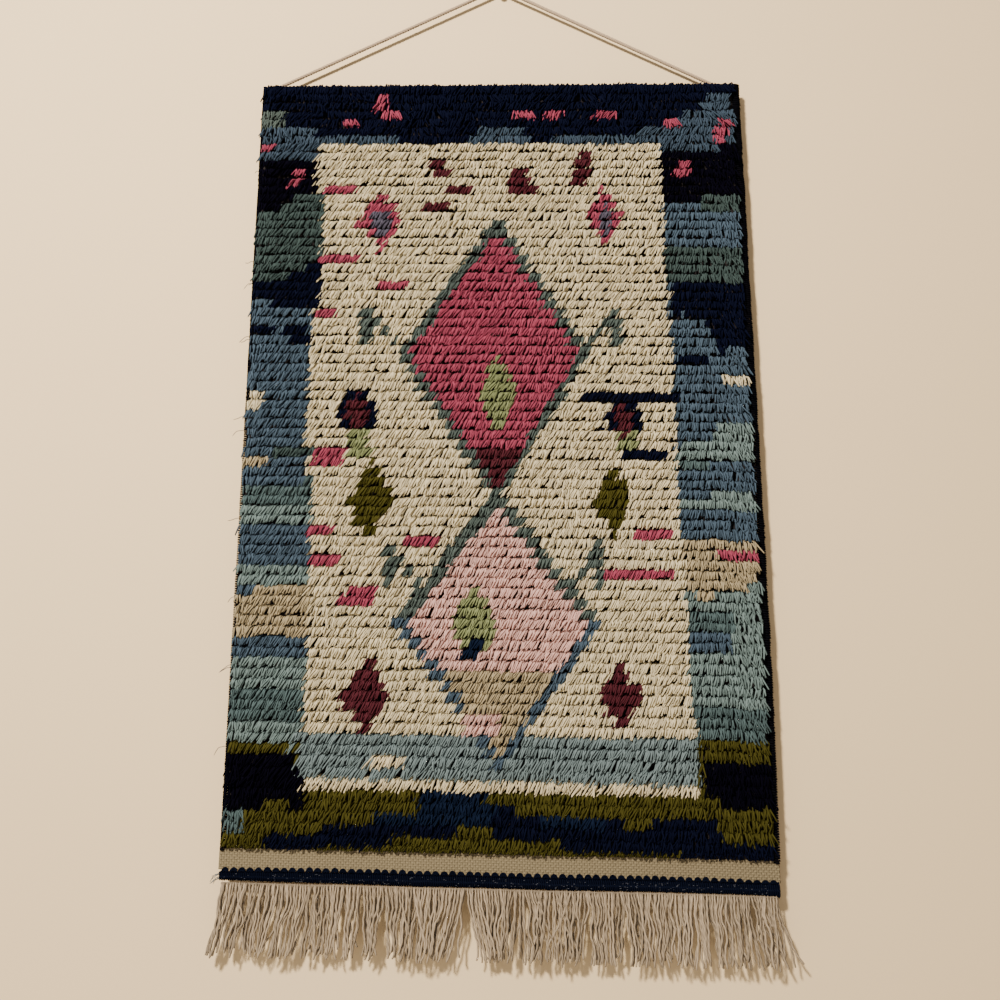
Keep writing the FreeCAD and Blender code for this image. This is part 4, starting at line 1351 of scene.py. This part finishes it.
class HANGING_OT_edging(bpy.types.Operator):
    """Works the navy edging with its stitch heads, and the pale heading cord under it"""

    bl_idname = "wall_hanging.edging"
    bl_label = "Edging and Heading"

    def execute(self, context):
        sizes = settings(context, "rug")
        colours = settings(context, "woven")
        self.slant = sizes.hang_slant
        navy = wool("edging_navy", colours.edging, 2, 130)
        self.body(navy)
        self.teeth(sizes, navy)
        self.heading(colours.fringe)
        return {"FINISHED"}

    def level_line(self, left, right, y, z, steps, seed, wobble=0.25 * MM):
        """A line across the rug that hangs with the cloth."""
        line = []
        for step in range(steps + 1):
            x = left + (right - left) * step / steps
            drift = wobble * ripple(x * 60, z * 10, seed)
            line.append(Vector((x, y + drift, hang(x, z, self.slant) + drift)))
        return line

    def body(self, material):
        """Thick yarn wrapped round and round the cloth's lower edge, with a cord along its foot."""
        rng = random.Random(17)
        middle = (EDGING_LOW.y + EDGING_HIGH.y) / 2
        top = BAND_LOW.z + 0.5 * MM
        bottom = EDGING_LOW.z
        pitch = 2.3 * MM
        wrap_radius = 1.25 * MM
        foot_radius = 1.8 * MM
        wraps = int((RUG_RIGHT - RUG_LEFT - 2 * MM) / pitch)
        steps = 10
        line = []
        for step in range(wraps * steps + 1):
            turn = step / steps
            if step % steps == 0:
                reach = rng.uniform(0.9, 1.08)
            angle = FULL_TURN * turn
            x = RUG_LEFT + 1 * MM + pitch * turn + 0.9 * MM * math.sin(angle)
            thick = 1.0 + 0.35 * max(0.0, (x - RUG_RIGHT + 0.022) / 0.022)
            thick *= min(1.0, 0.72 + 1.4 * (x - RUG_LEFT))
            z = (top + bottom) / 2 + (top - bottom) / 2 * 0.86 * reach * thick * math.cos(angle)
            line.append(Vector((x, middle - 2.0 * MM * math.sin(angle), hang(x, z, self.slant))))
        bm = new_bmesh()
        add_tube(bm, line, wrap_radius, 4)
        foot = self.level_line(RUG_LEFT + 1 * MM, RUG_RIGHT - 1 * MM, middle - 1.6 * MM,
                               (top + bottom) / 2 - 1.0 * MM, 900, 51.0, 0.5 * MM)
        add_strand(bm, foot, foot_radius, 4, 0.5, 2, 120)
        piece = new_piece("wrapped_edging", bm, material, ["edging_band"])
        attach(piece, "rug")
        self.specks()

    def specks(self):
        """Short lighter strands scattered between the wraps, for the pale specks on the edging."""
        rng = random.Random(23)
        bm = new_bmesh()
        front = EDGING_LOW.y - 0.2 * MM
        for _ in range(220):
            x = rng.uniform(RUG_LEFT + 6 * MM, RUG_RIGHT - 6 * MM)
            z = rng.uniform(EDGING_LOW.z + 2 * MM, BAND_LOW.z - 2.5 * MM)
            z = hang(x, z, self.slant)
            reach = rng.uniform(0.5, 1.1) * MM
            line = [Vector((x - reach, front + 1.2 * MM, z - 0.3 * MM)), Vector((x - reach * 0.5, front, z)),
                    Vector((x + reach * 0.5, front, z)), Vector((x + reach, front + 1.2 * MM, z))]
            add_strand(bm, line, 0.4 * MM, 4, rng.random())
        material = twisted_thread("weft_ends", (0.07, 0.08, 0.11), 2, 3)
        piece = new_piece("weft_ends", bm, material)
        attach(piece, "rug")

    def teeth(self, sizes, material):
        """Round stitch heads in a row on the edging's upper edge."""
        rng = random.Random(19)
        bm = new_bmesh()
        count = int((RUG_RIGHT - RUG_LEFT) / sizes.tooth_pitch)
        front = TEETH_FRONT + 0.8 * MM
        for index in range(count):
            x = (index - (count - 1) / 2) * sizes.tooth_pitch + rng.uniform(-0.4, 0.4) * MM
            reach = rng.uniform(0.85, 1.1) * (0.7 if x > RUG_RIGHT - 0.04 else 1.0)
            low = max(0.0, 1.8 * MM - 0.018 * (x - RUG_LEFT))
            base = hang(x, BAND_LOW.z - 0.6 * MM - low, self.slant)
            outer_loop = (3.0, 0.0)
            inner_loop = (1.5, -0.2)
            for radius, lift in (outer_loop, inner_loop):
                line = []
                for step in range(9):
                    angle = math.pi * step / 8
                    sway = rng.uniform(-0.15, 0.15) * MM
                    line.append(Vector((x - radius * MM * math.cos(angle) + sway,
                                        front - 0.5 * MM * math.sin(angle),
                                        base + (radius * 1.25 * math.sin(angle) * reach + lift) * MM)))
                line.insert(0, line[0] - UP * 1.5 * MM)
                line.append(line[-1] - UP * 1.5 * MM)
                add_strand(bm, line, 1.25 * MM, 5, rng.random())
        piece = new_piece("stitch_heads", bm, material, ["edging_teeth"])
        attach(piece, "rug")

    def heading(self, colour):
        """The pale twined cord that the fringe hangs from."""
        middle = (HEADING_LOW.y + HEADING_HIGH.y) / 2
        z = (HEADING_LOW.z + HEADING_HIGH.z) / 2
        line = self.level_line(HEADING_LOW.x, HEADING_HIGH.x, middle, z, 900, 61.0, 0.5 * MM)
        bm = new_bmesh()
        add_strand(bm, line, (HEADING_HIGH.z - HEADING_LOW.z) / 2 - 0.2 * MM, 5, 0.3, 3, 90)
        material = twisted_thread("heading_cotton", tinted(colour, 0.75), 2, 180)
        piece = new_piece("twined_heading", bm, material, ["fringe_heading"])
        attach(piece, "rug")


class HANGING_OT_fringe(bpy.types.Operator):
    """Hangs two layers of twisted strands from the heading"""

    bl_idname = "wall_hanging.fringe"
    bl_label = "Fringe"

    STRAY = 3.4 * MM
    WILD_SHARE = 0.10
    WAVE = 3.2 * MM
    CURL = 4.0 * MM
    SIDE_CRIMP = 0.28 * MM
    DEPTH_CRIMP = 0.3 * MM
    GAP_SWING_LEFT = -11 * MM
    GAP_SWING_RIGHT = 16 * MM

    def execute(self, context):
        sizes = settings(context, "fringe")
        slant = settings(context, "rug").hang_slant
        material = twisted_thread("fringe_cotton", settings(context, "woven").fringe, 2, 9, 0.45)
        for number, (name, y) in enumerate((("front", -1.2 * MM), ("back", 1.2 * MM))):
            bm = self.layer(sizes, slant, number, y)
            piece = new_piece("strands_" + name, bm, material, ["fringe_" + name])
            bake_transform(piece)
        return {"FINISHED"}

    def clumps(self, rng, left, right):
        """Places where strands are drawn together, with how far each clump swings sideways."""
        edges = [left]
        while edges[-1] < right:
            edges.append(edges[-1] + rng.uniform(11, 24) * MM)
        nearest = min(range(len(edges)), key=lambda n: abs(edges[n] - FRINGE_GAP))
        edges[nearest] = FRINGE_GAP
        found = []
        for a, b in zip(edges, edges[1:]):
            swing = rng.uniform(-6, 6) * MM
            if abs(b - FRINGE_GAP) < 1 * MM:
                swing = self.GAP_SWING_LEFT
            if abs(a - FRINGE_GAP) < 1 * MM:
                swing = self.GAP_SWING_RIGHT
            found.append((a, b, swing, rng.uniform(-1, 1), rng.uniform(-2.5, 2.5) * MM))
        return found

    def layer(self, sizes, slant, number, y):
        """One layer of strands. Both layers are drawn into the same clumps."""
        rng = random.Random(70 + number)
        bm = new_bmesh()
        left = HEADING_LOW.x + 1 * MM
        right = HEADING_HIGH.x - 1 * MM
        clumps = self.clumps(random.Random(7), left, right)
        for index in range(sizes.strands):
            share = (index + 0.5 + rng.uniform(-0.3, 0.3)) / sizes.strands
            x = left + (right - left) * share
            clump = next((c for c in clumps if c[0] <= x < c[1]), clumps[-1])
            self.hang_strand(bm, rng, sizes, slant, x, y, clump)
        return bm

    def hang_strand(self, bm, rng, sizes, slant, x, y, clump):
        """One strand: straight at the root, then drawn into its clump, with a wave of its own."""
        start, stop, swing, bow, depth_shift = clump
        side = x / RUG_RIGHT
        fan = sizes.spread * (0.6 * abs(side) ** 1.6 * (1 if side > 0 else -1) - 0.22 * (side < 0.2))
        gather = 0.38 * ((start + stop) / 2 - x)
        stray = rng.gauss(0, self.STRAY)
        if rng.random() < self.WILD_SHARE:
            stray += rng.choice((-1, 1)) * rng.uniform(9, 24) * MM
        reach = sizes.hang * rng.uniform(0.90, 1.03) - 0.22 * abs(stray)
        top = hang(x, HEADING_HIGH.z + rng.uniform(-0.4, 1.2) * MM, slant)
        depth = rng.uniform(-2.2, 2.2) * MM + depth_shift
        wave = (0.8 * bow + rng.uniform(-1, 1)) * self.WAVE
        curl = rng.uniform(-1, 1) * self.CURL
        end = fan + swing + gather + stray
        middle = WEAVE_MIDDLE
        points = [
            Vector((x, middle + y * 0.5 - 1.4 * MM, top)),
            Vector((x + end * 0.03, middle + y - 1.0 * MM, top - reach * 0.09)),
            Vector((x + end * 0.20 + wave, middle + y * 1.5 + depth * 0.5, top - reach * 0.30)),
            Vector((x + end * 0.50 - wave * 0.6, middle + y * 2.0 + depth, top - reach * 0.56)),
            Vector((x + end * 0.86 + wave * 0.8, middle + y * 1.6 + depth, top - reach * 0.82)),
            Vector((x + end + curl, middle + y * 1.2 + depth * 0.8, top - reach)),
        ]
        line = evenly(smooth_line(points, 4), 30)

        # A small crimp from the twist, and a blunt cut end
        phase = rng.uniform(0, FULL_TURN)
        for step, point in enumerate(line[2:], 2):
            point.x += self.SIDE_CRIMP * math.sin(phase + step * 1.3)
            point.y += self.DEPTH_CRIMP * math.cos(phase + step * 0.9)
        line[-2] = line[-1].lerp(line[-3], 0.12)
        add_strand(bm, line, sizes.radius * rng.uniform(0.86, 1.1), 5, rng.random())


class HANGING_OT_loose_threads(bpy.types.Operator):
    """Pulls a few loose threads out of the left edge and the edging's frayed end"""

    bl_idname = "wall_hanging.loose_threads"
    bl_label = "Loose Threads"

    def execute(self, context):
        slant = settings(context, "rug").hang_slant
        rng = random.Random(91)
        bm = new_bmesh()
        for _ in range(14):
            z = rng.uniform(PILE_TOP - 0.05, PILE_BOTTOM + 0.05)
            self.thread(bm, rng, RUG_LEFT + 2 * MM, hang(RUG_LEFT, z, slant), rng.uniform(5, 15) * MM)
        material = twisted_thread("thread_grey", (0.10, 0.10, 0.12), 2, 9)
        piece = new_piece("loose_threads", bm, material)
        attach(piece, "rug")
        bm = new_bmesh()
        z = hang(RUG_LEFT, (EDGING_LOW.z + EDGING_HIGH.z) / 2, slant)
        for _ in range(9):
            self.thread(bm, rng, RUG_LEFT + 3 * MM, z + rng.uniform(-3, 3) * MM, rng.uniform(6, 12) * MM)
        material = twisted_thread("frayed_grey", (0.20, 0.22, 0.23), 2, 9)
        piece = new_piece("frayed_end", bm, material)
        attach(piece, "rug")
        return {"FINISHED"}

    def thread(self, bm, rng, x, z, reach):
        """One fine thread that sticks out to the left and droops."""
        points = [Vector((x, WEAVE_MIDDLE, z))]
        for step in (0.3, 0.65, 1.0):
            points.append(Vector((x - reach * step + rng.uniform(-1, 1) * MM,
                                  WEAVE_MIDDLE - rng.uniform(0, 5) * MM,
                                  z - reach * step * step * rng.uniform(0.1, 0.9))))
        add_strand(bm, smooth_line(points, 6), 0.35 * MM, 4, rng.random())


# ---------------------------------------------------------------- panel and running

class HANGING_PT_panel(bpy.types.Panel):
    """Lists the hanging's operators and settings"""

    bl_idname = "HANGING_PT_panel"
    bl_label = "Wall Hanging"
    bl_space_type = "VIEW_3D"
    bl_region_type = "UI"
    bl_category = "Wall Hanging"

    def draw(self, context):
        for operator in OPERATORS:
            self.layout.operator(operator.bl_idname)
        for group in GROUPS:
            box = self.layout.box()
            box.label(text=group.title())
            for name in GROUPS[group].__annotations__:
                box.prop(settings(context, group), name)


OPERATORS = (
    HANGING_OT_stage,
    HANGING_OT_cord,
    HANGING_OT_fixing,
    HANGING_OT_rod,
    HANGING_OT_weave,
    HANGING_OT_selvedges,
    HANGING_OT_pile,
    HANGING_OT_edging,
    HANGING_OT_fringe,
    HANGING_OT_loose_threads,
)
GROUPS = {
    "yarns": YarnColours,
    "woven": WovenColours,
    "pile": PileSizes,
    "rug": RugSizes,
    "fringe": FringeSizes,
    "stage": StageSizes,
}


def register():
    """Adds the classes, and the settings to the scene."""
    for group in GROUPS.values():
        bpy.utils.register_class(group)
    for name, group in GROUPS.items():
        setattr(bpy.types.Scene, "hanging_" + name, PointerProperty(type=group))
    for operator in OPERATORS:
        bpy.utils.register_class(operator)
    bpy.utils.register_class(HANGING_PT_panel)


def unregister():
    """Takes the classes and settings away again."""
    bpy.utils.unregister_class(HANGING_PT_panel)
    for operator in reversed(OPERATORS):
        bpy.utils.unregister_class(operator)
    for name in GROUPS:
        delattr(bpy.types.Scene, "hanging_" + name)
    for group in reversed(list(GROUPS.values())):
        bpy.utils.unregister_class(group)


def make():
    """Makes the whole hanging."""
    register()
    bpy.ops.wall_hanging.stage()
    bpy.ops.wall_hanging.cord()
    bpy.ops.wall_hanging.fixing()
    bpy.ops.wall_hanging.rod()
    bpy.ops.wall_hanging.weave()
    bpy.ops.wall_hanging.selvedges()
    bpy.ops.wall_hanging.pile()
    bpy.ops.wall_hanging.edging()
    bpy.ops.wall_hanging.fringe()
    bpy.ops.wall_hanging.loose_threads()


if __name__ == "__main__":
    make()
